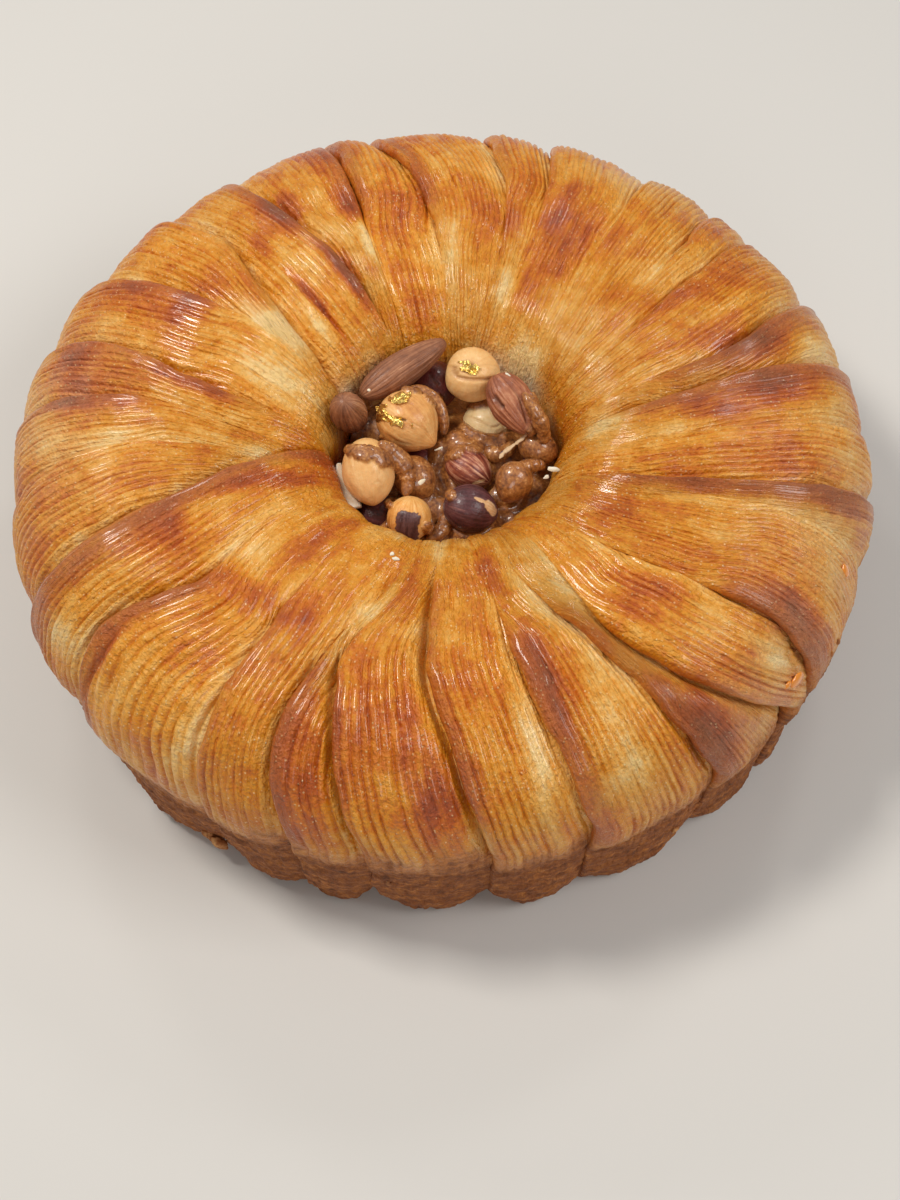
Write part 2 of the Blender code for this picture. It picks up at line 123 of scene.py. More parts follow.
# Where the crust is baked browner (above zero) or paler: angle, distance, reach along both, amount.
# The broad spot at 190 degrees, low on the wall of the hole, is painted shade, not baking.
TOAST_AND_SHADE = (
    (218.8, 88, 0.7, 10, 0.4), (190, -10, 26, 9, 1.6), (200, -3, 10, 3, 0.5),
    (207, 30, 4, 16, 0.45), (196, 12, 7, 6, 0.35), (209, 57, 6, 5, 0.3), (224, 44, 4, 6, -0.4),
    (230, 54, 6, 4, 0.35), (233, 26, 5, 12, 0.3), (241, 52, 5, 6, 0.3), (210, 95, 4, 7, -0.35),
    (235, 92, 2.5, 12, -0.3), (251, 88, 4, 14, 0.3), (269, 88, 4.5, 12, 0.5),
    (262, 74, 8, 14, 0.25), (247, 34, 14, 12, 0.12),
    (261, 40, 5, 9, 0.3), (267, 20, 3, 9, -0.35), (274, 101, 1.5, 6, -0.4), (281, 32, 4, 11, 0.35),
    (281.5, 78, 1.6, 20, -0.3), (285.5, 66, 2, 16, 0.4), (293, 78, 4, 14, -0.15), (305, 90, 5, 15, 0.4),
    (306, 58, 6, 9, 0.25), (318, 90, 3, 5, -0.4), (325, 89, 2.2, 12, 0.25), (322, 35, 8, 8, 0.2),
    (337, 46, 3, 10, 0.4), (344, 82, 3, 14, 0.45), (354, 22, 4, 6, -0.4), (356, 52, 3.5, 12, 0.45),
    (2, 67, 3.5, 11, 0.4), (13, 62, 3.5, 10, 0.45), (11, 84, 3, 8, -0.35), (2, 86, 3, 6, -0.3),
    (27, 52, 3, 14, 0.3), (35, 40, 4, 6, 0.25), (52, 44, 5, 12, 0.3), (60, 30, 5, 9, 0.35),
    (49, 9, 9, 6, -0.7), (66, 25, 3, 8, -0.3), (77, 46, 7, 10, 0.35), (85, 33, 3, 12, -0.2),
    (62, 54, 3, 10, 0.3), (70, 64, 4, 7, 0.4), (93, 50, 2, 14, 0.4), (100, 42, 5, 12, 0.2),
    (109, 52, 2.5, 6, 0.5), (109.5, 78, 3, 14, 0.4), (108.5, 40, 1.5, 5, -0.5), (118, 34, 3, 9, 0.7),
    (122, 60, 3.5, 9, 0.6), (131.5, 32, 1.5, 10, 0.45), (146, 30, 4, 8, -0.6), (137, 26, 3, 9, -0.3),
    (152, 54, 8, 5, 0.25), (171, 43, 5, 11, 0.35), (153, 72, 3, 9, 0.35), (162, 24, 10, 11, -0.3),
    (178, 38, 5, 5, 0.3), (167, 78, 4, 7, 0.35), (176, 76, 4, 7, 0.4), (195, 29, 4, 5, -0.45),
    (185, 64, 3, 5, -0.3), (132, 52, 3, 5, 0.3), (257, 28, 5, 6, 0.1), (246, 18, 6, 8, -0.1),
    (300, 15, 10, 8, 0.1), (330, 22, 12, 6, 0.15),
)
# Where the glaze pooled and shines most, written in the same way.
WET = (
    (356, 48, 5, 9, 0.9), (11, 60, 6, 8, 0.9), (3, 34, 8, 6, 0.6), (122, 56, 5, 8, 0.7),
    (160, 52, 12, 7, 0.8), (172, 58, 8, 8, 0.5), (204.5, 75, 2.5, 14, 0.9), (325, 26, 16, 6, 0.5),
    (341, 66, 3, 16, 0.6), (268, 84, 6, 10, 0.6), (62, 54, 3, 8, 0.6), (255, 74, 6, 8, 0.4),
    (285, 80, 3, 12, 0.4), (310, 66, 6, 14, 0.4), (20, 30, 10, 12, 0.3), (190, 76, 5, 10, 0.3),
)
# Where the scored threads stay crisp right up to the hole, in the same way.
CRISP = (
    (338, 26, 22, 14, 0.6), (5, 24, 26, 20, 0.6), (30, 34, 14, 16, 0.5), (92, 16, 14, 10, 0.5),
    (125, 30, 12, 16, 0.3), (160, 48, 18, 12, 0.5), (186, 30, 12, 14, 0.4), (195, 50, 8, 12, 0.35),
    (288, 30, 8, 12, 0.35), (270, 10, 22, 5, 0.5),
)
# Hollows torn into the dough, in the same way, with the amount in millimetres.
HOLLOWS = (
    (218.6, 89, 0.5, 10, 2.0), (221.8, 90, 0.5, 8, 1.5), (255.8, 37, 0.5, 5, 0.7), (251, 51, 0.5, 5, 0.8),
    (247, 62, 0.5, 6, 0.8), (271.5, 41, 0.5, 2.5, 0.8), (243, 28, 0.5, 1.5, 0.5), (132, 28, 0.6, 12, 1.0),
    (320.5, 95, 0.6, 3, 1.2), (86, 60, 0.4, 9, 0.8), (312, 40, 0.5, 6, 0.7), (206, 40, 0.5, 7, 0.6),
)
# Raw, floury dough on the wall of the hole that the oven's heat did not reach, and a painted sheen
# that makes the crust paler along the left and the right shoulder.
RAW_AND_SHEEN = (
    (128, 4, 12, 7, 1.0), (146, 7, 7, 5, 0.7), (64, 4, 13, 7, 1.0), (40, 5, 10, 6, 0.8), (95, 1, 14, 4, 0.5),
    # The three broad spots at 178, 340 and 312 degrees are the painted sheen on the shoulders.
    (20, 3, 8, 5, 0.4), (160, 0, 10, 6, 0.5), (178, 88, 24, 30, 0.42), (340, 92, 26, 28, 0.38),
    (312, 96, 12, 16, 0.3),
)
# Where the rim of the hole bulges inwards: angle, reach, millimetres.
RIM = ((284, 20, 2.4), (316, 18, 2.4), (344, 12, 1.2), (60, 25, -0.4))
# The angle round which the rim is scalloped most.
RIM_FRONT = 268.0
# Where the golden crust reaches lower down the side, in mm, or less low, in the same way.
SIDE_START = ((214, 112, 22, 40, 11), (268, 112, 22, 40, -5), (318, 112, 20, 40, -3))
# Some rows are scored into wider or finer threads.
THREAD_WIDTH = {0: 0.92, 1: 0.86, 2: 0.86, 3: 0.86, 16: 1.6, 18: 1.3, 19: 1.4, 22: 0.88, 23: 0.82,
                24: 0.84, 25: 0.82, 26: 0.9, 27: 0.84}
# Folds stay smooth near the hole round this angle, where the dough lay under the slab's flat side.
QUIET_ANGLE = 240.0
QUIET_REACH = 46.0
print("folds:", len(FOLDS), "toasted places:", len(TOAST_AND_SHADE))

# %% [markdown]
# ## Small tools
#
# Dough is never even, so nearly every surface here is nudged by smooth noise. The noise is read from
# a seeded lattice, so each run gives the same loaf. `smooth_step` fades one shape into another, and
# `through` draws a smooth line through a few given values.

# %% Noise, fades and curves
CELLS = 64
LATTICE = np.random.default_rng(11).random((CELLS, CELLS))


def noise(x, y, seed=0):
    """Smooth noise from 0 to 1 over a plane, with cells one unit wide."""
    x = np.asarray(x, float) + 17.3 * seed
    y = np.asarray(y, float) + 9.7 * seed
    x0, y0 = np.floor(x).astype(int), np.floor(y).astype(int)
    fx, fy = x - x0, y - y0
    fx, fy = fx * fx * (3 - 2 * fx), fy * fy * (3 - 2 * fy)
    x1, y1 = (x0 + 1) % CELLS, (y0 + 1) % CELLS
    x0, y0 = x0 % CELLS, y0 % CELLS
    low = LATTICE[x0, y0] * (1 - fx) + LATTICE[x1, y0] * fx
    high = LATTICE[x0, y1] * (1 - fx) + LATTICE[x1, y1] * fx
    return low * (1 - fy) + high * fy


def smooth_step(low, high, value):
    """0 below low, 1 above high, smooth between."""
    share = np.clip((value - low) / (high - low), 0, 1)
    return share * share * (3 - 2 * share)


def sway(x, y, seed):
    """The same noise, centred on zero: from -0.5 to 0.5."""
    return noise(x, y, seed) - 0.5


def turned_by(degrees, centre):
    """Angle from a centre in degrees, from -180 to 180."""
    return (degrees - centre + 180) % 360 - 180


def through(knots, values, place):
    """A smooth curve through values at knots, read at a place."""
    knots, values = np.array(knots, float), np.array(values, float)
    slopes = np.gradient(values, knots)
    place = np.clip(place, knots[0], knots[-1])
    cell = np.clip(np.searchsorted(knots, place, side="right") - 1, 0, len(knots) - 2)
    width = knots[cell + 1] - knots[cell]
    t = (place - knots[cell]) / width
    return ((2 * t**3 - 3 * t**2 + 1) * values[cell] + (t**3 - 2 * t**2 + t) * width * slopes[cell]
            + (3 * t**2 - 2 * t**3) * values[cell + 1] + (t**3 - t**2) * width * slopes[cell + 1])


# %% [markdown]
# ## The skin's profile
#
# Distance along the skin is the main coordinate of the whole loaf. It is zero at the top of the
# hole's wall, negative down that wall, about 48 at the crest, 112 at the bulge and 149 at the
# foot. After that it turns under the loaf.

# %% Profile by distance
def quarter(radius, height, rounding):
    """A quarter of a rounded oval, from a radius and height up to the crest."""
    turn = np.linspace(0, math.pi / 2, 60)
    return np.stack([CREST_RADIUS + (radius - CREST_RADIUS) * np.cos(turn) ** (2 / rounding),
                     height + (CREST_HEIGHT - height) * np.sin(turn) ** (2 / rounding)], 1)


def profile_points():
    """Distance, radius and height along the skin, from deep in the hole to under the foot."""
    inner = quarter(HOLE_RADIUS, HOLE_TOP_HEIGHT, INNER_ROUNDING)
    outer = quarter(OUTER_RADIUS, BULGE_HEIGHT, OUTER_ROUNDING)[::-1]
    wall = [(HOLE_RADIUS, HOLE_TOP_HEIGHT - WALL_DEPTH)]
    side = [(OUTER_RADIUS - 0.2, 35.6), (OUTER_RADIUS - 0.7, 33.4), (OUTER_RADIUS - 1.4, 31.2),
            (MOULD_TOP_RADIUS + 0.3, 28.4), (BASE_RADIUS + 0.2, 6.0), (BASE_RADIUS - 0.6, 2.6),
            (BASE_RADIUS - 2.2, 0.8), (BASE_RADIUS - 4.5, 0.15), (BASE_RADIUS - 14.0, 0.1)]
    points = np.concatenate([wall, inner, outer[1:], side])
    steps = np.hypot(*np.diff(points, axis=0).T)
    distance = np.concatenate([[0], np.cumsum(steps)]) - WALL_DEPTH
    return distance, points[:, 0], points[:, 1]


P_DISTANCE, P_RADIUS, P_HEIGHT = profile_points()
SKIN_END = P_DISTANCE[-1]
# Radius at the shoulder, where the threads are as wide as they were cut.
RIM_RADIUS = float(np.interp(100.0, P_DISTANCE, P_RADIUS))
# The normal is read over this many millimetres on both sides, so that it turns softly.
NORMAL_REACH = 1.6


def skin_frame(distance):
    """Radius, height and outward normal of the skin at each distance."""
    radius = np.interp(distance, P_DISTANCE, P_RADIUS)
    height = np.interp(distance, P_DISTANCE, P_HEIGHT)
    back = distance - NORMAL_REACH
    ahead = distance + NORMAL_REACH
    dr = np.interp(ahead, P_DISTANCE, P_RADIUS) - np.interp(back, P_DISTANCE, P_RADIUS)
    dz = np.interp(ahead, P_DISTANCE, P_HEIGHT) - np.interp(back, P_DISTANCE, P_HEIGHT)
    length = np.hypot(dr, dz) + 1e-9
    return radius, height, -dz / length, dr / length


def to_space(angle, radius, height):
    """Cylinder coordinates to metres, with the hole's small shift off the ring's centre."""
    shift = 1 - smooth_step(HOLE_RADIUS, CREST_RADIUS, radius)
    return np.stack([radius * np.cos(angle) + HOLE_SHIFT[0] * shift,
                     radius * np.sin(angle) + HOLE_SHIFT[1] * shift, height], -1) * MM


def lip_angle(fold, distance):
    """Angle of a fold's lip at each distance: a smooth curve through its five knots."""
    return through(KNOTS, fold.angles, distance)


def after(index):
    """The fold that follows in the ring."""
    return FOLDS[(index + 1) % len(FOLDS)]


print("skin runs from", round(P_DISTANCE[0], 1), "to", round(SKIN_END, 1), "mm")

# %% [markdown]
# ## One fold of dough
#
# A baker rolls a slab of dough, scores it into threads with a knife or a bench cutter, folds it over
# the filling and stands the packets in a ring. Each packet swells over its neighbour as a lip.
# So each fold is a closed tube here. Its section has a rolled nose at the lip, a ridged top that
# falls towards the next lip and slides under it, and a flat hidden underside. A grid of `create_grid`
# is wrapped round the section and along the skin by moving its vertices, then its seam is merged.
# The threads are real ridges, because their shadows and glints are what the eye sees first.

# %% Fold surface
THREAD_PITCH = 1.88
THREAD_DEPTH = 0.52
TUCK = 4.0
TUBE_DEPTH = 7.0
ROW_STEP = 1.0
SAMPLES_PER_MM = 3.8
NOSE_COLUMNS, UNDER_COLUMNS = 10, 9
NOSE, TOP, UNDER = 0, 1, 2
LEAST_LIFT = 0.25
# The nose turns this far, in degrees, from under the lip up to the top.
NOSE_START = -80.0
NOSE_TURN = 170.0


def fold_relief(distance):
    """How much of a fold's lift shows: less at the hole, all on the shoulder, little on the side."""
    grown = 0.45 + 0.55 * smooth_step(5, 45, distance)
    pressed = 1 - 0.72 * smooth_step(106, 125, distance)
    return grown * pressed


def put(mesh_object, points):
    """Writes vertex places, in metres, into an object's mesh."""
    mesh_object.data.vertices.foreach_set("co", np.ascontiguousarray(points, np.float32).ravel())
    mesh_object.data.update()


def float_attribute(mesh_object, name, values):
    """Stores one number a vertex for the shader."""
    layer = mesh_object.data.attributes.new(name, "FLOAT", "POINT")
    layer.data.foreach_set("value", np.ascontiguousarray(values, np.float32).ravel())


def vector_attribute(mesh_object, name, values):
    """Stores one vector a vertex for the shader."""
    layer = mesh_object.data.attributes.new(name, "FLOAT_VECTOR", "POINT")
    layer.data.foreach_set("vector", np.ascontiguousarray(values, np.float32).ravel())


def finished(mesh, name):
    """Turns a bmesh into a smooth-shaded object of the scene."""
    data = bpy.data.meshes.new(name)
    mesh.to_mesh(data)
    mesh.free()
    data.shade_smooth()
    made = bpy.data.objects.new(name, data)
    bpy.context.collection.objects.link(made)
    return made


def grid_object(name, columns, rows, size=1.0):
    """An object with a flat grid of columns x rows vertices, columns varying fastest."""
    mesh = bmesh.new()
    bmesh.ops.create_grid(mesh, x_segments=columns - 1, y_segments=rows - 1, size=size)
    return finished(mesh, name)


def coordinates(mesh_object):
    """Vertex places of an object's mesh as an array."""
    co = np.empty(len(mesh_object.data.vertices) * 3, np.float32)
    mesh_object.data.vertices.foreach_get("co", co)
    return co.reshape(-1, 3).astype(float)


def close_tube(mesh_object):
    """Merges the seam of a wrapped grid, fills its two ends and turns the faces outwards."""
    mesh = bmesh.new()
    mesh.from_mesh(mesh_object.data)
    bmesh.ops.remove_doubles(mesh, verts=mesh.verts, dist=1e-7)
    open_edges = [edge for edge in mesh.edges if edge.is_boundary]
    bmesh.ops.holes_fill(mesh, edges=open_edges, sides=0)
    bmesh.ops.recalc_face_normals(mesh, faces=mesh.faces)
    mesh.to_mesh(mesh_object.data)
    mesh.free()


# %% Lips and spots
def lip_lift(edge, distance):
    """How far a lip stands above its neighbour, and the share of it that has grown there."""
    fold = FOLDS[edge]
    stands = smooth_step(fold.start - 9, fold.start + 6, distance)
    uneven = 0.75 + 0.5 * noise(distance / 13, edge * 3.7, edge)
    return fold.lift * stands * fold_relief(distance) * uneven + LEAST_LIFT, stands


def edges_of(index):
    """The edge that carries this fold's lip, the one at its tail, and if a lip covers that tail."""
    last = (index + 1) % len(FOLDS)
    if index in HIGH_AT_START:
        return index, last, last in HIGH_AT_START
    return last, index, (index - 1) % len(FOLDS) not in HIGH_AT_START


def spots(table, angle, distance):
    """Sum of soft spots from a table, at angles in degrees."""
    total = np.zeros_like(distance)
    for centre, reach_in, half_turn, half_way, amount in table:
        turn = turned_by(angle, centre) / half_turn
        total = total + amount * np.exp(-turn**2 - ((distance - reach_in) / half_way) ** 2)
    return total


# %% Section of a fold
def fold_section(index, distance, part, along):
    """Place across the fold (mm past its lip) and height over the skin, round the whole section."""
    own, tail, covered = edges_of(index)
    radius, _, _, _ = skin_frame(distance)
    start = lip_angle(FOLDS[index], distance)
    end = lip_angle(after(index), distance) + (360 if index == len(FOLDS) - 1 else 0)
    gap = np.maximum(np.radians(end - start) * radius, 1.2)
    lift, stands = lip_lift(own, distance)
    cover = lip_lift(tail, distance)[0] if covered else np.full_like(distance, VALLEY)
    reach = np.minimum(0.45 * lift + 0.5, 0.3 * gap)
    drop = 0.62 * lift + 0.35
    gape = np.zeros_like(distance)
    if covered:
        opening = GAPE.get(tail, CLOSED_GAPE) * lip_lift(tail, distance)[1]
        opening = opening * (0.5 + noise(distance / 9, tail, 3))
        gape = opening * (1 - smooth_step(98, 112, distance))

    def top_height(w):
        share = np.clip(w / gap, 0, 1)
        dive = 0.55 * share**2 + 0.45 * smooth_step(0, 1, (w - gap + 5) / 5)
        full = 0.9 * np.minimum(gap / 14, 1) * (1 - (2 * share - 1) ** 2)
        crack = gape * np.exp(-((w - gap + 0.2) / 1.3) ** 2)
        tucked_under = 0.35 * np.clip(w - gap, 0, None)
        return 0.42 * lift * (1 - share) ** 1.3 - 0.58 * cover * dive + full - crack - tucked_under

    turn = np.radians(NOSE_START + NOSE_TURN * along)
    end_w = gap + TUCK
    w = np.where(part == NOSE, reach * (1 - np.cos(turn)), reach + (end_w - reach) * along)
    height = np.where(part == NOSE, top_height(reach) - drop * (1 - np.sin(turn)), top_height(w))
    first_w = reach * (1 - math.cos(math.radians(NOSE_START)))
    first_height = top_height(reach) - (1 - math.sin(math.radians(NOSE_START))) * drop
    inside = np.clip(np.minimum(along, 1 - along) / 0.12, 0, 1)
    edge_height = np.where(along < 0.5, top_height(end_w), first_height)
    w = np.where(part == UNDER, end_w + (first_w - end_w) * along, w)
    height = np.where(part == UNDER, edge_height + (-TUBE_DEPTH - edge_height) * inside, height)
    return np.radians(start), radius, gap, w, height, stands


# %% Threads
def thread_relief(index, w, d, gap, strip, degrees):
    """Height of the scored threads, a mask of painted shade in their grooves, and their own coordinates."""
    rim_gap = math.radians((after(index).angles[4] - FOLDS[index].angles[4]) % 360) * RIM_RADIUS
    pitch = THREAD_PITCH * THREAD_WIDTH.get(index, 1.0) * (0.88 + 0.3 * float(noise(index * 1.7, 3.3, 2)))
    pitch = pitch * np.clip(gap / max(rim_gap, 8.0), 0.25, 1.6) ** 0.6
    wander = sway(w / 15, d / 45, index) * 0.8 + sway(w / 4.5, d / 40, index + 40) * 0.34
    wander = wander + sway(w / 2, d / 3.2, index + 90) * 0.14
    phase = (w - strip) / pitch + wander
    nearest = np.floor(phase + 0.5)
    off = np.abs(phase - nearest)
    alive = noise(nearest * 0.83 + 5, d / 15, index + 7) + 0.35 * sway(nearest * 0.31, d / 40, index + 8)
    quiet = np.exp(-(turned_by(degrees, QUIET_ANGLE) / QUIET_REACH) ** 2)
    grown = 0.75 * (1 - quiet) * smooth_step(-2, 14, d) + smooth_step(34, 66, d)
    grown = np.clip(grown + spots(CRISP, degrees, d), 0, 1)
    alive = 1.5 * alive - 0.27 + 0.25 * grown + 0.5 * sway(nearest * 1.9, d / 5, index + 9)
    alive = np.clip(alive, 0.03, 1.2)
    narrow = 0.55 * np.exp(-((off / 0.13) ** 2)) + 0.45 * np.exp(-((off / 0.27) ** 2))
    ridge = 1 - (1 - 2 * off) ** 2
    smooth = smooth_step(0.55, 1.0, w / np.maximum(strip, 0.3))
    strength = (0.14 + 0.86 * grown) * np.minimum(pitch / 1.8, 1.1) * smooth
    own = noise(np.floor(phase) * 0.9 + 0.5, d / 14, index + 17)
    bead = sway(np.floor(phase) * 2.3, d / 1.7, index + 27)
    cut = THREAD_DEPTH * alive * narrow
    height = strength * (0.2 * (ridge - 0.62) - cut + 0.26 * (own - 0.5) + 0.24 * bead * ridge)
    return height, alive * narrow * strength, own, phase


# %% Rim of the hole
def rim_bulge(degrees, distance):
    """How far the hole's rim comes inwards, with small scallops along its front edge."""
    bulge = np.zeros_like(distance)
    for angle, reach, inwards in RIM:
        bulge = bulge + inwards * np.exp(-(turned_by(degrees, angle) / reach) ** 2)
    front = np.exp(-(turned_by(degrees, RIM_FRONT) / 38) ** 2)
    broad = sway(degrees / 4.1, np.full_like(degrees, 2.5), 15)
    fine = sway(degrees / 1.3, np.full_like(degrees, 6.5), 16)
    scallops = (1.5 * broad + 0.5 * fine) * (0.25 + 0.75 * front)
    return (bulge + scallops) * np.exp(-((distance - 1) / 8.5) ** 2)


# %% Skin of the dough
def side_share(index, w, d, degrees):
    """0 on the glazed top and 1 on the side that the mould held, with a ragged border."""
    border = 7 * sway(w / 6 + index, d / 12, index + 51) + 5 * sway(w / 1.6 + index, d / 9, index + 52)
    return smooth_step(107, 123, d + border - spots(SIDE_START, degrees, d))


def dough_relief(index, w, d, strip, side):
    """Swells of the dough, fine lines on the smooth strip, and the rough fibres of the side."""
    on_strip = np.clip(1 - w / np.maximum(strip, 0.3), 0, 1)
    fine_lines = 0.05 * np.sin(w * 11 + 3 * noise(w, d / 9, index + 60)) * on_strip
    swell = sway(w / 12 + index, d / 15, index + 21) * 1.5 * smooth_step(0, 40, d)
    swell = swell + sway(w / 4 + index, d / 6, index + 25) * 0.45
    fibre = sway(w / 7.0, (d + 0.3 * w) / 1.3, index + 33) * 0.9 + sway(w / 1.4, d / 1.2, index + 34) * 0.6
    return fine_lines + swell * (1 - 0.6 * side) + side * fibre


def foot_inset(index, share, base_height, d):
    """How far the foot draws in: rounded at the base, and notched at both ends of the fold."""
    foot = np.clip((FOOT_HEIGHT - base_height) / FOOT_HEIGHT, 0, 1) ** 2.2 * (d > 100)
    share = np.clip(share, 0, 1)
    notch = np.maximum(FOLDS[index].notch * np.clip(1 - share * 2.6, 0, 1),
                       after(index).notch * np.clip(1 - (1 - share) * 2.6, 0, 1))
    return foot * (0.4 + FOOT_NOTCH * notch**1.5)


def bake_masks(index, lip, w, d, gap, strip, stands, degrees, phase):
    """Brown on the lip, pale where tucked under the next one, and toasted, raw and wet places.
    The toasted places hold painted shade on the hole's wall, the raw ones painted sheen on the shoulders.
    """
    streaked = 0.75 + 0.5 * noise(w / 1.2, d / 20, index + 81)
    on_lip = (1 - smooth_step(0.35, 1.7, w / np.maximum(strip, 0.3))) * lip.brown * stands * streaked
    on_lip = on_lip * smooth_step(-8, 12, d - lip.start)
    # Painted shade: one of these spots darkens the wall of the hole where it lies in shade.
    toast_and_shade = spots(TOAST_AND_SHADE, degrees, d) * (0.75 + 0.5 * noise(phase * 0.8, d / 11, index + 5))
    return {"lip": np.clip(on_lip, 0, 1.2), "toast_and_shade": toast_and_shade,
            "tucked": smooth_step(0, 1, (w - gap + 6) / 6) * smooth_step(15, 50, d),
            "raw_and_sheen": np.clip(spots(RAW_AND_SHEEN, degrees, d), 0, 1),
            "wet": np.clip(0.25 + spots(WET, degrees, d), 0, 1)}


# %% Build one fold
# A fold is widest at one of these knots, each with its radius.
WIDEST = ((2, 70.0), (3, 95.0), (4, 110.0))


def section_columns(index):
    """Share along each part of the section, and the part that each column belongs to."""
    widest = max(math.radians((after(index).angles[k] - FOLDS[index].angles[k]) % 360) * radius
                 for k, radius in WIDEST)
    columns = int((widest + TUCK) * SAMPLES_PER_MM) + 12
    along = np.concatenate([np.linspace(0, 1, NOSE_COLUMNS + 1)[:-1], np.linspace(0, 1, columns),
                            np.linspace(0, 1, UNDER_COLUMNS + 1)[1:]])
    return along, np.repeat([NOSE, TOP, UNDER], [NOSE_COLUMNS, columns, UNDER_COLUMNS])


def build_fold(index):
    """One closed, ridged tube of dough."""
    lip = FOLDS[edges_of(index)[0]]
    rising = index not in HIGH_AT_START
    distances = np.arange(P_DISTANCE[0] + 1, SKIN_END - 6, ROW_STEP)
    along, part = section_columns(index)
    made = grid_object("fold_%02d" % (index + 1), len(along), len(distances))
    d, along = np.meshgrid(distances, along, indexing="ij")
    part = np.broadcast_to(part, d.shape)
    start, radius, gap, w, height, stands = fold_section(index, d, part, along)
    strip = 0.3 + lip.strip * stands * np.clip(radius / 90, 0.5, 1)
    degrees = np.degrees(start + np.where(rising, gap - w, w) / radius)
    relief, groove, own, phase = thread_relief(index, w, d, gap, strip, degrees)
    side = side_share(index, w, d, degrees)
    relief = relief * (1 - 0.75 * side) + dough_relief(index, w, d, strip, side)
    on_top = (part == TOP) * smooth_step(0, 1.2, w)
    height = height + on_top * (relief - spots(HOLLOWS, degrees, d))
    ragged = sway(d / 6.0, index * 1.3, index + 71) * 1.4 + sway(d / 1.9, index * 1.3, index + 72) * 0.35
    w = w + ragged * stands * np.exp(-np.clip(w, 0, None) / 4.0)
    across = np.where(rising, gap - w, w)
    angle = start + across / radius
    if OVER_ALL - UNDER_IT <= index < OVER_ALL:
        past = (angle - np.radians(lip_angle(FOLDS[OVER_ALL], d))) * radius
        height = height - DIVE * smooth_step(-0.3, 2.0, past)
    _, base_height, normal_r, normal_z = skin_frame(d)
    degrees = np.degrees(angle)
    inset = foot_inset(index, across / gap, base_height, d) + rim_bulge(degrees, d)
    upwards = np.maximum(base_height + normal_z * height, 0.0)
    put(made, to_space(angle, radius + normal_r * height - inset, upwards))
    masks = bake_masks(index, lip, w, d, gap, strip, stands, degrees, phase)
    masks["lip"] = masks["lip"] * (part != UNDER)
    # The groove mask is painted shade: the shader darkens the grooves of the threads with it.
    masks.update(side=side, own=own, groove=np.clip(groove, 0, 1) * on_top)
    for name, values in masks.items():
        float_attribute(made, name, values)
    vector_attribute(made, "strand", np.stack([phase, d, np.full_like(d, index * 7.0)], -1))
    close_tube(made)
    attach(made, "root")
    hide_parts("loaf")
    return made


folds = [build_fold(i) for i in range(len(FOLDS))]
print("folds:", len(folds), "faces:", sum(len(f.data.polygons) for f in folds))

# %% [markdown]
# ## The core
#
# Behind the folds lies a plain ring, so that no view looks between them into nothing. A profile is
# spun round Z with `spin`. It is the wall of the hole, the hidden inside and the flat underside.

# %% Core ring
def spun(name, profile, steps=180):
    """A closed ring made by spinning a closed profile of (radius, height) about Z."""
    mesh = bmesh.new()
    verts = [mesh.verts.new((r, 0, z)) for r, z in profile]
    edges = [mesh.edges.new((verts[i], verts[(i + 1) % len(verts)])) for i in range(len(verts))]
    bmesh.ops.spin(mesh, geom=verts + edges, cent=(0, 0, 0), axis=(0, 0, 1), angle=2 * math.pi,
                   steps=steps, use_merge=True)
    bmesh.ops.remove_doubles(mesh, verts=mesh.verts, dist=1e-5)
    bmesh.ops.recalc_face_normals(mesh, faces=mesh.faces)
    made = finished(mesh, name)
    x, y, height = coordinates(made).T
    put(made, to_space(np.arctan2(y, x), np.hypot(x, y), height))
    return made


CORE_DEPTH = 5.0
r, z, nr, nz = skin_frame(np.linspace(2, 146, 40))
core_profile = list(zip(r - nr * CORE_DEPTH, z - nz * CORE_DEPTH))
core_profile += [(96.0, 0.0), (70.0, 0.0), (50.0, 0.0), (HOLE_RADIUS + 0.2, 0.0),
                 (HOLE_RADIUS + 0.1, 15.0), (HOLE_RADIUS + 0.1, 30.0), (HOLE_RADIUS + 0.6, 44.0)]
core = spun("core", core_profile)
for layer in ("lip", "tucked", "groove", "side", "own", "toast_and_shade", "wet", "raw_and_sheen"):
    float_attribute(core, layer, np.full(len(core.data.vertices), 1.0 if layer == "tucked" else 0.0))
vector_attribute(core, "strand", np.zeros((len(core.data.vertices), 3)))
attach(core, "root")
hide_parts("loaf")
print("core faces:", len(core.data.polygons))

# %% [markdown]
# ## Nuts
#
# Each kernel is an icosphere pulled into shape along its own axis. A hazelnut is round with a point,
# and an almond is longer, flatter and ribbed. Their details are placed on the side that shows. So a
# second set of coordinates is used: millimetres across, up and outwards, from the kernel's centre
# towards an eye above the front edge of the cake. Torn skin, sauce and creases are written in it.

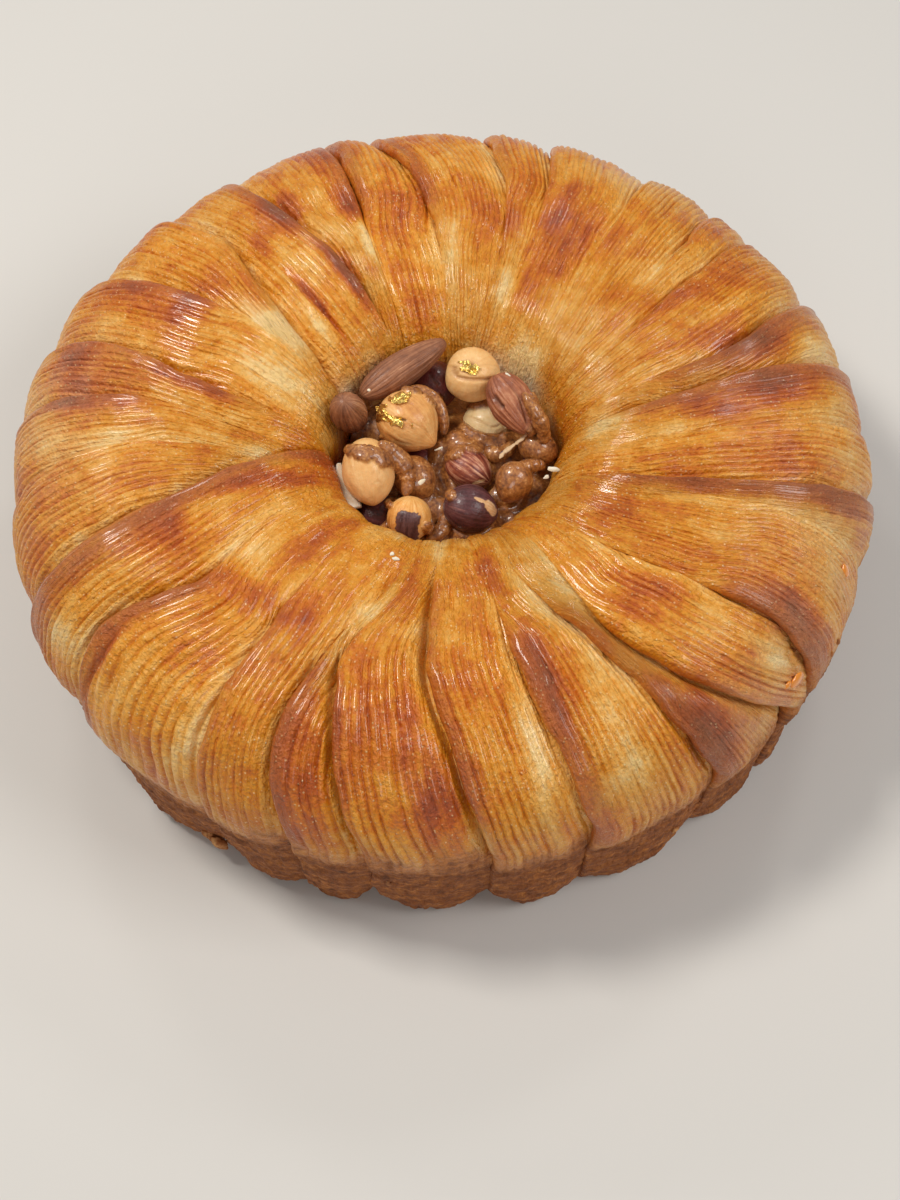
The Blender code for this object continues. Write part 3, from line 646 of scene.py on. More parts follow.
# %% Kernels
Nut = namedtuple("Nut", "name kind centre length width thickness tip look")
NUTS = tuple(Nut(*row) for row in (
    ("almond_long", "almond", (-9.0, 18.0, 61.4), 26.0, 9.2, 8.2, (0.84, 0.5, 0.2), "brown_skin"),
    ("almond_left", "almond", (-23.0, 5.4, 59.3), 18.0, 9.4, 9.0, (0.1, 0.29, -0.95), "brown_skin"),
    ("hazelnut_gold", "hazelnut", (-8.2, 3.3, 58.0), 16.6, 15.2, 15.2, (0.71, -0.7, -0.13), "roasted"),
    ("hazelnut_top", "hazelnut", (8.7, 16.1, 60.1), 14.0, 14.0, 13.8, (-0.05, 0.3, -0.95), "blanched"),
    ("hazelnut_red", "hazelnut", (-1.2, 19.6, 52.2), 13.2, 11.8, 11.8, (0.33, 0.92, 0.22), "red_skin"),
    ("hazelnut_pale", "hazelnut", (12.1, 8.0, 49.4), 12.8, 12.4, 12.4, (0.9, -0.12, -0.43), "pale"),
    ("almond_red", "almond", (18.5, 4.7, 62.4), 17.2, 11.2, 9.4, (0.5, -0.78, -0.36), "russet_skin"),
    ("coated_nut_right", "hazelnut", (25.0, -2.8, 53.8), 10.4, 8.8, 7.8, (0.94, -0.29, -0.18), "coated"),
    ("hazelnut_dark_right", "hazelnut", (22.4, 0.6, 42.8), 11.6, 10.8, 10.8, (1.0, 0.07, 0.05), "dark_skin"),
    ("coated_nut_front", "hazelnut", (18.0, -13.2, 53.9), 11.0, 9.5, 9.3, (-0.45, -0.76, -0.47), "coated"),
    ("hazelnut_brown_front", "hazelnut", (15.6, -11.8, 44.6), 10.4, 9.4, 9.4, (0.96, 0.25, 0.16), "coated"),
    ("hazelnut_dark_front", "hazelnut", (7.1, -18.6, 50.0), 14.0, 11.6, 11.6, (0.95, -0.09, -0.3),
     "dark_skin"),
    ("hazelnut_striped", "hazelnut", (7.0, -6.8, 50.9), 12.6, 10.2, 9.6, (0.8, -0.59, -0.11), "striped_skin"),
    ("hazelnut_big", "hazelnut", (-18.2, -11.0, 56.7), 17.2, 12.9, 13.2, (0.12, -0.93, -0.34), "blanched"),
    ("coated_nut_left", "hazelnut", (-6.6, -9.5, 51.3), 12.2, 10.3, 10.1, (0.51, -0.73, -0.45), "coated"),
    ("hazelnut_patched", "hazelnut", (-8.3, -22.1, 51.3), 11.6, 11.0, 11.0, (-0.13, -0.63, -0.76), "patched"),
    ("hazelnut_dark_left", "hazelnut", (-16.1, -16.5, 44.7), 11.8, 11.2, 11.2, (0.94, -0.29, -0.18),
     "dark_skin"),
    ("hazelnut_small_red", "hazelnut", (-4.8, -1.4, 46.3), 10.4, 8.4, 8.4, (0.8, -0.51, -0.32), "red_skin"),
))
# How far a kernel's tip stands out, as a share of its length.
LONG_TIP, SHORT_TIP = 0.07, 0.015
# Steps in millimetres: skin left on a peeled kernel, flesh where the skin has gone, and the grain.
SKIN_LEFT, SKIN_GONE = 0.16, -0.12
ROUGHNESS = {"almond": 0.12, "hazelnut": 0.035}
ACROSS = np.array((1.0, 0.0, 0.0))
UPWARD = np.array((0.0, 0.849, 0.528))
OUTWARD = np.array((0.0, -0.528, 0.849))

# Praline on a kernel, as ragged ellipses: middle across and up, half sizes, turn in degrees.
COATS = {
    "hazelnut_big": ((-0.4, 3.9, 5.4, 2.2, -10), (4.0, 2.4, 3.2, 2.2, -14), (-3.9, 4.7, 2.0, 1.8, 25)),
    "hazelnut_gold": ((6.4, 6.2, 4.2, 2.0, -50), (1.2, 8.0, 3.4, 1.2, -8), (-7.4, -5.0, 1.4, 2.2, 30)),
    "hazelnut_pale": ((-1.0, 5.2, 4.4, 1.5, 4), (5.2, 1.2, 1.6, 4.0, 20)),
    "almond_red": ((6.6, -2.2, 2.9, 5.2, 18), (5.0, -7.0, 2.4, 1.8, 0)),
    "hazelnut_striped": ((-3.6, 4.2, 3.8, 2.4, 24), (1.2, 4.9, 3.0, 1.3, -6)),
    "hazelnut_patched": ((4.6, -2.6, 1.5, 2.0, 0), (-4.6, 3.6, 1.2, 1.0, 0)),
    "hazelnut_red": ((-1.0, -4.4, 4.0, 1.6, 8),),
    "almond_left": ((1.6, -5.8, 3.4, 1.2, 8),),
    "hazelnut_dark_front": ((-4.8, 3.2, 1.6, 1.4, 40),),
    "hazelnut_dark_left": ((3.6, 2.6, 2.4, 2.0, 0),),
}
# The other layer of a kernel: skin left on a peeled one, or flesh where the skin has torn.
TORN = {
    "hazelnut_patched": ((0.2, -3.2, 3.3, 4.0, 4), (1.6, -0.6, 1.9, 2.0, 30), (-1.4, -0.2, 1.6, 2.0, -20)),
    "hazelnut_dark_front": ((4.8, 0.2, 1.9, 1.2, -38), (2.6, 1.9, 1.5, 0.55, -25), (5.6, -0.9, 1.0, 1.1, 0)),
    "hazelnut_striped": ((2.6, -3.6, 1.6, 0.5, 16),),
}
# Creases and slits: points across and up, half width, depth. The shader paints shade into them.
CREASES = {
    "hazelnut_top": ((((-6.2, 0.5), (-3.5, -1.2), (0.0, -1.9), (4.6, -1.7), (6.6, -0.6)), 0.5, 0.6),
                     (((-4.6, 2.4), (-5.0, 0.4), (-3.6, -0.6)), 1.1, 0.5),
                     (((-1.4, 1.9), (-0.4, 0.4), (1.0, 0.9)), 0.9, 0.7)),
    "hazelnut_gold": ((((-3.4, 0.3), (-1.6, 0.0), (0.0, -0.5)), 0.3, 0.9),
                      (((0.0, -0.5), (3.2, -2.0), (6.2, -4.0)), 0.16, 0.16),
                      (((-5.6, -3.0), (-2.6, -5.4), (1.6, -6.4)), 0.3, 0.2)),
    "hazelnut_pale": ((((-5.4, 0.0), (-2.6, -2.4), (2.2, -2.9), (5.4, -1.2)), 0.22, 0.3),
                      (((-4.8, -1.4), (-1.6, -3.8), (3.0, -4.0)), 0.2, 0.25),
                      (((-4.8, 2.2), (-1.8, 0.6), (1.4, -1.0), (4.0, -0.2)), 0.3, 0.3),
                      (((0.6, 3.6), (2.4, 1.2), (4.4, 0.8)), 0.25, 0.3)),
    "hazelnut_big": ((((-5.2, -1.8), (-4.2, -4.2), (-2.0, -6.2)), 0.6, 0.14),
                     (((2.4, -2.2), (3.4, -4.2), (2.4, -6.4)), 0.7, 0.14)),
    "almond_red": ((((-5.2, 2.0), (-4.0, 0.6), (-2.6, -1.4)), 0.7, 0.5),
                   (((-1.0, 4.6), (1.4, 1.4), (2.8, -3.2), (3.4, -6.4)), 0.3, 0.35)),
    "hazelnut_red": ((((-1.6, 2.6), (0.2, 0.4), (1.6, -1.0)), 0.5, 0.4),),
}
# A pit in a kernel: place across and up, reach, depth. The shader paints shade into it.
DENT = {"hazelnut_top": ((-0.9, 1.2), 1.5, 0.9), "almond_red": ((-2.7, -1.0), 0.5, 0.5)}


def ball(name, subdivisions=6):
    """An icosphere of radius 1 as an object."""
    mesh = bmesh.new()
    bmesh.ops.create_icosphere(mesh, subdivisions=subdivisions, radius=1.0)
    return finished(mesh, name)


def axis_matrix(axis):
    """Turn that takes +Z to an axis."""
    return np.array(Vector(axis).normalized().to_track_quat("Z", "Y").to_matrix())


def lump_noise(x, y, z, seed):
    """Noise from -0.5 to 0.5 in space, from two planes of noise."""
    return (noise(x + 0.6 * z, y - 0.4 * z, seed) + noise(y + 0.5 * x, z + 7.0, seed + 31)) / 2 - 0.5


def turned_pair(x, y, degrees):
    """Two coordinates turned by an angle in degrees."""
    c, s = math.cos(math.radians(degrees)), math.sin(math.radians(degrees))
    return x * c - y * s, x * s + y * c


def kernel_shape(unit, nut, seed, point):
    """Moves points of a unit sphere onto a kernel that lies along Z."""
    along = unit[:, 2]
    around = np.arctan2(unit[:, 1], unit[:, 0])
    belly = 1 - along**2
    uneven = lump_noise(*(unit * 1.7).T, seed)
    if nut.kind == "almond":
        wide = (1.0 - 0.15 * along - 0.1 * along * along) * (1.02 - along**4) ** -0.14
        rib = np.abs(np.sin(around * 9 + 0.9 * np.sin(along * 2.4 + seed) + 3.2 * uneven)) ** 0.6
        fine = np.abs(np.sin(around * 21 + 2.0 * np.sin(along * 3.1 + seed) + 6.0 * uneven)) ** 0.7
        wide = wide * (1 + (0.05 * (rib - 0.7) + 0.03 * (fine - 0.6)) * (1 - along**8))
    else:
        wide = 1.03 - 0.1 * np.clip(along, 0, None) ** 2 - 0.04 * along
        facets = np.cos(around * 3 + seed * 1.9) * 0.022 + np.cos(around * 2 + seed) * 0.02
        fine = np.abs(np.sin(around * 15 + 2.4 * np.sin(along * 2.3 + seed) + 4 * uneven)) ** 0.8
        wide = wide + (facets + 0.004 * (fine - 0.6)) * belly
    wide = wide * (1 + 0.08 * uneven)
    x = unit[:, 0] * wide * nut.width / 2
    y = unit[:, 1] * wide * nut.thickness / 2
    z = along * nut.length / 2
    if nut.kind == "hazelnut":
        z = z + nut.length * point * np.clip((along - 0.86) / 0.14, 0, 1) ** 2
    return np.stack([x, y, z], 1), around, along


def ragged_mask(ellipses, x, y, outwards, seed, ragged=0.16):
    """1 inside any of a few ragged ellipses on the side that shows, 0 outside."""
    wobble = sway(x / 1.7 + seed, y / 1.7, seed) * 2.4 * ragged + sway(x / 0.5, y / 0.5, seed + 3) * ragged
    best = np.full_like(x, -1.0)
    for middle_x, middle_y, half_x, half_y, turned in ellipses:
        u, v = turned_pair(x - middle_x, y - middle_y, -turned)
        best = np.maximum(best, 1 - np.hypot(u / half_x, v / half_y) + wobble)
    return smooth_step(0.0, 0.12, best) * (outwards > -2.0), np.clip(best / 0.5, 0, 1) ** 0.5


def crease_depth(creases, x, y, outwards):
    """Depth in mm of the creases, each drawn through a few points on the side that shows."""
    depth = np.zeros_like(x)
    for points, half_width, deep in creases:
        share = np.linspace(0, 1, len(points))
        fine = np.linspace(0, 1, 40)
        line = np.stack([through(share, [p[k] for p in points], fine) for k in (0, 1)], 1)
        away = np.hypot(x[:, None] - line[:, 0], y[:, None] - line[:, 1])
        nearest = away.min(1)
        ends = np.clip(np.minimum(fine, 1 - fine)[away.argmin(1)] / 0.18, 0.15, 1)
        depth = np.maximum(depth, deep * ends * np.exp(-((nearest / half_width) ** 2)) * (outwards > 0))
    return depth


def build_nut(nut, seed):
    """One kernel with its skin, torn places, creases and sauce."""
    name, look = nut.name, nut.look
    made = ball(name + "_skin")
    unit = coordinates(made)
    local, around, along = kernel_shape(unit, nut, seed, LONG_TIP if look == "roasted" else SHORT_TIP)
    away = local @ axis_matrix(nut.tip).T
    x, y, outwards = away @ ACROSS, away @ UPWARD, away @ OUTWARD
    size = np.linalg.norm(away, axis=1)
    rough = lump_noise(*(away / 1.1).T, seed + 5)
    if look == "coated":
        coat = np.ones_like(x)
        sauce = 0.8 * lump_noise(*(away / 4.4).T, seed + 8) + 0.06 * rough
    else:
        coat, dome = ragged_mask(COATS.get(name, ()), x, y, outwards, seed)
        sauce = coat * (0.3 + 0.8 * dome + 0.12 * rough)
    torn, _ = ragged_mask(TORN.get(name, ()), x, y, outwards, seed + 9, 0.3)
    # The depth of the creases and the dent also becomes a mask of painted shade for the shader.
    shaded_crease = crease_depth(CREASES.get(name, ()), x, y, outwards) * (1 - coat)
    if name in DENT:
        (dent_x, dent_y), reach, deep = DENT[name]
        shaded_crease = shaded_crease + deep * np.exp(-((x - dent_x) ** 2 + (y - dent_y) ** 2) / reach**2) * (outwards > 0)
    torn_step = SKIN_LEFT if look == "patched" else SKIN_GONE
    grown = size + sauce + torn * torn_step - shaded_crease + ROUGHNESS[nut.kind] * rough * (1 - coat)
    away = away * (grown / size)[:, None]
    put(made, (away + np.array(nut.centre)) * MM)
    vector_attribute(made, "kernel", np.stack([around, along, np.full_like(along, seed * 3.1)], 1))
    float_attribute(made, "coated", coat)
    float_attribute(made, "torn", torn)
    float_attribute(made, "shaded_crease", np.clip(shaded_crease / 0.6, 0, 1))
    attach(made, "root")
    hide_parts(name)
    return made


nuts = {nut.name: build_nut(nut, i + 1) for i, nut in enumerate(NUTS)}
print("nuts:", len(nuts))

# %% [markdown]
# ## Gold leaf
#
# Gold leaf is thinner than paper and clings to whatever it touches. Each leaf is a small grid laid on
# the kernel: the height of the kernel is read under every vertex, then crumpled with noise. The faces
# outside a ragged outline are deleted and `Solidify` gives the rest a thickness, which closes it.

# %% Gold leaf
LEAF_THICKNESS = 0.06
LEAF_CLEARANCE = 0.16
# The grid is laid out this much larger than the leaf, to leave room for its ragged outline.
LEAF_SPREAD = 1.35
# Kernel, middle across and up, half sizes, turn, crumple height, all in mm and degrees.
LEAVES = (
    ("hazelnut_gold", (-1.7, 5.5), 2.9, 1.5, 18, 0.9),
    ("hazelnut_gold", (-6.5, 1.9), 2.0, 2.1, -20, 0.8),
    ("hazelnut_gold", (-2.9, -0.4), 3.5, 1.15, -22, 0.6),
    ("hazelnut_gold", (-5.0, 0.7), 2.0, 0.9, -45, 0.8),
    ("hazelnut_top", (-1.0, 1.3), 2.4, 1.3, -24, 0.5),
    ("hazelnut_top", (-0.4, 0.2), 1.2, 0.9, 10, 0.4),
)


def build_leaf(row, number):
    """One crumpled leaf lying on a kernel."""
    name, (middle_x, middle_y), half_x, half_y, turned, crumple = row
    centre = np.array(next(nut.centre for nut in NUTS if nut.name == name))
    under = coordinates(nuts[name]) / MM - centre
    under = np.stack([under @ ACROSS, under @ UPWARD, under @ OUTWARD], 1)
    under = under[under[:, 2] > 0]
    made = grid_object("gold_leaf_%d" % (number + 1), 44, 30)
    flat = coordinates(made)[:, :2] * LEAF_SPREAD
    x, y = turned_pair(flat[:, 0] * half_x, flat[:, 1] * half_y, turned)
    x, y = x + middle_x, y + middle_y
    nearest = np.hypot(x[:, None] - under[:, 0], y[:, None] - under[:, 1]).argmin(1)
    folded = np.abs(sway(x + 40, y, number)) * 2 + 0.3 * np.abs(sway(x / 0.4, y / 0.4, number + 4))
    height = under[nearest, 2] + LEAF_CLEARANCE + crumple * folded
    places = centre + x[:, None] * ACROSS + y[:, None] * UPWARD + height[:, None] * OUTWARD
    put(made, places * MM)
    outline = np.hypot(flat[:, 0], flat[:, 1]) + 1.1 * sway(x / 0.9 + 9, y / 0.9, number + 60)
    mesh = bmesh.new()
    mesh.from_mesh(made.data)
    mesh.verts.ensure_lookup_table()
    outside = [face for face in mesh.faces if max(outline[v.index] for v in face.verts) > 1.0]
    bmesh.ops.delete(mesh, geom=outside, context="FACES")
    mesh.to_mesh(made.data)
    mesh.free()
    solid = made.modifiers.new("thickness", "SOLIDIFY")
    solid.thickness = LEAF_THICKNESS * MM
    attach(made, "root")
    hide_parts(name)
    return made


leaves = [build_leaf(row, i) for i, row in enumerate(LEAVES)]
print("gold leaves:", len(leaves))

# %% [markdown]
# ## Praline
#
# Praline is poured in warm, so it sags between the nuts and climbs a little where it touches them.
# It is a fine disc grid, lifted by the same mounds as the solid and by a soft edge round each nut.
# Runs of it hang over the nuts too. A run is a round section carried along a path of points.

# %% Praline
PRALINE_RADIUS = 28.3
PRALINE_LEVEL = 45.5
PRALINE_COLUMNS = 230
# How far the praline climbs a nut that reaches its level.
CLIMB = 1.5
# Middle, rise and reach of each mound.
PRALINE_MOUNDS = ((5.0, 1.5, 8.0, 7.0), (17.0, 2.0, 4.0, 5.0), (-2.0, -15.5, 4.0, 5.0),
                  (2.0, 12.0, 3.0, 6.0), (-24.5, 3.0, -13.0, 7.0), (4.0, 21.0, -4.0, 6.0),
                  (1.0, -2.0, 3.0, 5.0), (11.0, -2.0, 3.5, 5.0))


def praline_height(x, y):
    """Height of the praline's top."""
    z = np.full_like(x, PRALINE_LEVEL)
    for mx, my, rise, reach in PRALINE_MOUNDS:
        z = z + rise * np.exp(-((x - mx) ** 2 + (y - my) ** 2) / reach**2)
    for nut in NUTS:
        (cx, cy, cz), radius = nut.centre, (nut.width + nut.thickness) / 4
        away = np.hypot(x - cx, y - cy) - radius
        climb = CLIMB * (abs(cz - PRALINE_LEVEL) < radius + 3)
        z = z + climb * np.exp(-(np.clip(away, 0, None) / 1.3) ** 2)
    return z + sway(x / 4.4, y / 4.4, 5) * 1.6 + sway(x / 1.6, y / 1.6, 6) * 0.4


def build_praline():
    """The mass of praline: a square grid drawn in to a disc, with a wall and a flat bottom."""
    made = grid_object("praline_mass", PRALINE_COLUMNS, PRALINE_COLUMNS)
    x, y, _ = coordinates(made).T
    drawn_in = (np.maximum(np.abs(x), np.abs(y)) + 1e-12) / (np.hypot(x, y) + 1e-12) * PRALINE_RADIUS
    x, y = x * drawn_in + HOLE_SHIFT[0], y * drawn_in + HOLE_SHIFT[1]
    put(made, np.stack([x, y, praline_height(x, y)], 1) * MM)
    mesh = bmesh.new()
    mesh.from_mesh(made.data)
    rim = [edge for edge in mesh.edges if edge.is_boundary]
    wall = bmesh.ops.extrude_edge_only(mesh, edges=rim)["geom"]
    for vert in [item for item in wall if isinstance(item, bmesh.types.BMVert)]:
        vert.co.z = 0.0
    bmesh.ops.holes_fill(mesh, edges=[edge for edge in mesh.edges if edge.is_boundary], sides=0)
    bmesh.ops.recalc_face_normals(mesh, faces=mesh.faces)
    mesh.to_mesh(made.data)
    mesh.free()
    return made


praline = build_praline()

# %% Runs of praline
# Points along each run: place and radius in mm.
RUNS = {
    "run_over_almond": ((21.0, 4.6, 67.2, 0.6), (22.0, 2.2, 67.2, 1.3), (23.6, 0.2, 65.6, 1.9),
                        (25.2, -1.6, 62.6, 2.1), (26.0, -2.6, 59.4, 1.8), (26.0, -3.2, 56.6, 2.4)),
    "run_behind_gold": ((-10.4, 11.2, 60.2, 0.9), (-5.0, 11.4, 60.4, 1.5), (-0.8, 8.4, 59.4, 1.6),
                        (1.0, 4.6, 56.6, 1.5), (0.8, 1.8, 53.6, 1.2)),
    "run_big_to_left": ((-15.4, -6.4, 63.0, 1.5), (-12.0, -8.2, 60.2, 2.4), (-9.2, -10.0, 57.0, 2.8),
                        (-8.4, -13.2, 54.6, 2.0), (-9.4, -16.8, 53.4, 1.2)),
    "run_front_stem": ((19.0, -11.6, 55.6, 1.8), (21.6, -9.8, 55.2, 2.0), (24.0, -8.8, 54.4, 1.7),
                       (26.4, -8.6, 53.2, 1.2)),
    "run_right_lumps": ((11.4, -0.6, 51.0, 1.8), (14.0, -2.6, 51.2, 2.2), (16.8, -1.8, 51.4, 1.8),
                        (19.4, 0.6, 51.2, 1.5)),
    "run_front_low": ((1.2, -17.0, 47.6, 1.6), (0.6, -21.0, 47.4, 2.2), (-1.4, -24.2, 47.2, 1.8),
                      (-4.4, -26.0, 46.6, 1.2)),
}


def sweep(name, path, seed, columns=30, rows=72, flatness=1.0, uneven=0.16):
    """A closed tube along a path of (x, y, z, radius), rounded at both ends."""
    made = grid_object(name, columns, rows)
    share, turn = np.meshgrid(np.linspace(0, 1, rows), np.linspace(0, 2 * math.pi, columns), indexing="ij")
    knots = np.linspace(0, 1, len(path))
    line = np.stack([through(knots, [p[k] for p in path], np.linspace(0, 1, rows)) for k in range(4)], 1)
    ahead = np.gradient(line[:, :3], axis=0)
    ahead /= np.linalg.norm(ahead, axis=1)[:, None]
    sideways = np.cross(ahead, (0, 0, 1))
    sideways /= np.linalg.norm(sideways, axis=1)[:, None]
    upwards = np.cross(sideways, ahead)
    ends = np.sqrt(np.clip(1 - np.abs(2 * share - 1) ** 7, 0.0004, 1))
    step = share * len(path)
    wave = noise(step * 1.6, np.cos(turn) * 0.9 + 3, seed) + noise(step * 4, np.sin(turn) * 1.4 + 8, seed + 2)
    radius = line[:, 3][:, None] * ends * (1 + uneven * (wave - 1))
    places = line[:, None, :3] + sideways[:, None] * (radius * np.cos(turn))[..., None]
    places = places + upwards[:, None] * (flatness * radius * np.sin(turn))[..., None]
    put(made, places.reshape(-1, 3) * MM)
    close_tube(made)
    return made


runs = [sweep(name, path, number + 20) for number, (name, path) in enumerate(RUNS.items())]
for piece in [praline] + runs:
    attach(piece, "root")
    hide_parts("praline")
print("runs of praline:", len(runs))

# %% [markdown]
# ## Flake, strand and chips
#
# A slab of peeled almond stands between the big hazelnut and the wall. It is a tube with a squared
# section, drawn through a few widths along its length and bent a little. A curled strand of skin
# and a few chips lie about.

# %% Almond flake
FLAKE_CENTRE = np.array((-24.0, -12.6, 52.4))
# Place along the slab, left edge and right edge, in mm.
FLAKE_OUTLINE = ((-6.6, -0.4, 0.5), (-4.6, -0.9, 1.6), (-1.5, -1.3, 2.2), (2.0, -1.7, 2.6),
                 (5.0, -2.0, 2.9), (6.3, -1.7, 2.3))
FLAKE_THICKNESS = 1.15


def build_flake():
    """A slab lofted through cross-sections: place along, left edge, right edge."""
    axis = Vector((0.35, -0.9, -0.25)).normalized()
    face = Vector((0.5, 0.0, 0.85))
    face = (face - axis * face.dot(axis)).normalized()
    side = np.array(axis.cross(face))
    axis, face = np.array(axis), np.array(face)
    rows, columns = 60, 60
    made = grid_object("almond_slab", columns, rows)
    share, around = np.meshgrid(np.linspace(0, 1, rows), np.linspace(0, 2 * math.pi, columns), indexing="ij")
    knots = np.linspace(0, 1, len(FLAKE_OUTLINE))
    along, left, right = (through(knots, [p[k] for p in FLAKE_OUTLINE], share) for k in range(3))
    square_cos, square_sin = (np.sign(wave) * np.abs(wave) ** 0.5
                              for wave in (np.cos(around), np.sin(around)))
    edge = 0.3 * sway(along / 1.4, np.cos(around) * 2 + 4, 3)
    across = (left + right) / 2 + ((right - left) / 2 + edge) * square_cos
    bend = -0.035 * across**2 + 0.012 * along**2 + 0.25 * sway(along / 2.2, across / 1.4, 8)
    ends = np.clip(np.minimum(share, 1 - share) / 0.02, 0.35, 1)
    thick = FLAKE_THICKNESS / 2 * square_sin * ends + 0.06 * sway(along / 0.6, across / 0.5, 9)
    places = FLAKE_CENTRE + along[..., None] * axis + across[..., None] * side
    places = places + (bend + thick)[..., None] * face
    put(made, places.reshape(-1, 3) * MM)
    close_tube(made)
    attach(made, "root")
    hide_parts("almond_flake")
    return made


flake = build_flake()

# %% Strand and chips
STRAND = ((14.8, -6.4, 54.4, 0.5), (16.2, -4.8, 55.2, 0.55), (18.4, -3.6, 56.2, 0.5),
          (20.6, -2.6, 57.4, 0.6), (22.8, -0.8, 58.6, 0.35))
strand = sweep("skin_strand", STRAND, 41, columns=14, rows=80, flatness=0.35, uneven=0.8)
# Chips of nut: place, half sizes and turn in degrees.
CHIPS = (
    ((-4.9, -15.0, 57.2), (0.95, 0.55, 0.3), 35), ((27.9, -13.0, 58.4), (1.6, 0.6, 0.22), -12),
    ((26.2, -14.4, 57.2), (0.7, 0.45, 0.25), 20), ((-0.6, -3.6, 55.4), (1.2, 0.32, 0.28), 20),
    ((17.6, 9.9, 67.4), (0.9, 0.35, 0.3), -40), ((-17.8, 10.0, 62.9), (0.4, 0.35, 0.25), 0),
)


def build_chip(row, number):
    """A small angular chip: an icosphere with few faces, flattened and turned."""
    place, size, turned = row
    made = ball("chip_%d" % (number + 1), subdivisions=3)
    unit = coordinates(made)
    unit = unit * (1 + 0.9 * lump_noise(*(unit * 1.2).T, number))[:, None]
    x, y, z = (unit * np.array(size)).T
    x, y = turned_pair(x, y, turned)
    put(made, (np.array(place) + np.outer(x, ACROSS) + np.outer(y, UPWARD) + np.outer(z, OUTWARD)) * MM)
    return made


# Drops of set glaze and crumbs on the loaf: angle, distance along the skin, size in mm, kind.
BITS = (
    (319.2, 97.8, (2.4, 1.5, 0.6), "glaze"), (336.0, 93.5, (1.3, 1.9, 0.5), "glaze"),
    (317.6, 96.6, (1.2, 0.8, 0.5), "glaze"), (236.5, 142.5, (2.9, 2.2, 1.9), "crumb"),
    (234.8, 141.2, (1.4, 1.3, 1.2), "crumb"), (238.0, 143.6, (1.5, 1.1, 1.2), "crumb"),
    (329.8, 147.5, (1.3, 1.0, 0.9), "crumb"), (327.0, 104.6, (0.9, 0.6, 0.7), "crumb"),
    (328.6, 103.2, (0.6, 0.9, 0.6), "crumb"), (300.5, 132.0, (1.0, 0.8, 0.7), "crumb"),
    (262.0, 128.0, (0.9, 1.3, 0.6), "crumb"), (222.0, 126.0, (0.8, 1.1, 0.6), "crumb"),
    (256.0, 29.2, (0.9, 0.5, 0.35), "chip"), (254.6, 28.2, (0.5, 0.6, 0.3), "chip"),
    (100.0, 128.0, (1.1, 0.9, 0.7), "crumb"), (45.0, 134.0, (1.0, 1.2, 0.7), "crumb"),
    (150.0, 138.0, (1.3, 0.9, 0.8), "crumb"),
)
# How uneven each kind is. A bit larger than this size stands further out of the skin.
UNEVEN = {"glaze": 0.3, "crumb": 1.1, "chip": 1.1}
LARGE_BIT = 2.0


RAY_START, RAY_LENGTH = 15.0, 30.0


def seat_on_folds(place, outwards):
    """Where a line drawn inwards first meets a fold, in millimetres, or the place itself."""
    start = place + outwards * RAY_START
    reaches = []
    for fold in folds:
        hit, met, _, _ = fold.ray_cast(Vector(start * MM), Vector(-outwards), distance=RAY_LENGTH * MM)
        if hit:
            reaches.append(np.linalg.norm(np.array(met) / MM - start))
    return start - outwards * min(reaches) if reaches else place


def build_bit(row, number):
    """A small ragged lump half sunk in the skin of the loaf."""
    degrees, distance, size, kind = row
    angle = math.radians(degrees)
    radius, height, normal_r, normal_z = (float(v) for v in skin_frame(np.array(distance)))
    outwards = np.array((normal_r * math.cos(angle), normal_r * math.sin(angle), normal_z))
    around = np.array((-math.sin(angle), math.cos(angle), 0.0))
    down = np.cross(outwards, around)
    made = ball("%s_%d" % (kind, number + 1), subdivisions=4)
    unit = coordinates(made)
    lumps = lump_noise(*(unit * 1.4).T, number) + 0.3 * lump_noise(*(unit * 3.5).T, number + 6)
    unit = unit * (1 + UNEVEN[kind] * lumps)[:, None]
    skin = seat_on_folds(np.array((radius * math.cos(angle), radius * math.sin(angle), height)), outwards)
    middle = skin + outwards * (0.8 if size[0] > LARGE_BIT else 0.4) * size[2]
    put(made, (middle + unit * size @ np.stack([around, down, outwards])) * MM)
    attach(made, "root")
    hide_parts("loaf")
    return made


# The rays need the folds' meshes to be up to date.
bpy.context.view_layer.update()
bits = [build_bit(row, i) for i, row in enumerate(BITS)]
chips = [build_chip(row, i) for i, row in enumerate(CHIPS)]
for piece in [strand] + chips:
    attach(piece, "root")
    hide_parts("almond_flake")
print("chips:", len(chips))

# %% [markdown]
# ## Materials
#
# Colours are written as screen values and turned into the linear ones that shaders use. The crust
# reads the masks stored on the folds: brown at each lip, pale where the dough was tucked under its
# neighbour, rough and dark where it touched the mould. Shade is painted into the grooves of the threads
# and low on the hole's wall, a sheen on the shoulders and glints on the grains. A coat stands for the
# sugar glaze.

# %% Material tools
def linear(color):
    """Screen colour 0-255 to linear RGBA."""
    values = [c / 255 for c in color]
    return [v / 12.92 if v <= 0.04045 else ((v + 0.055) / 1.055) ** 2.4 for v in values] + [1.0]


def feed(tree, socket, value):
    """Links a socket to another one, or sets its own value."""
    if isinstance(value, bpy.types.NodeSocket):
        tree.links.new(value, socket)
    else:
        socket.default_value = value


def feed_all(tree, sockets, values):
    """Feeds sockets by name, with _ for a space."""
    for name, value in values.items():
        feed(tree, sockets[name.replace("_", " ")], value)


def add(tree, kind, **values):
    """Adds a node and feeds its inputs by name."""
    made = tree.nodes.new(kind)
    feed_all(tree, made.inputs, values)
    return made


def math_node(tree, operation, a, b=0.0, c=0.0, clamp=False):
    """One arithmetic node, returning its output."""
    made = tree.nodes.new("ShaderNodeMath")
    made.operation = operation
    made.use_clamp = clamp
    for socket, value in zip(made.inputs, (a, b, c)):
        feed(tree, socket, value)
    return made.outputs[0]


def total(tree, start, *terms):
    """A start value plus terms of (value, weight)."""
    for value, weight in terms:
        start = math_node(tree, "MULTIPLY_ADD", value, weight, start)
    return start


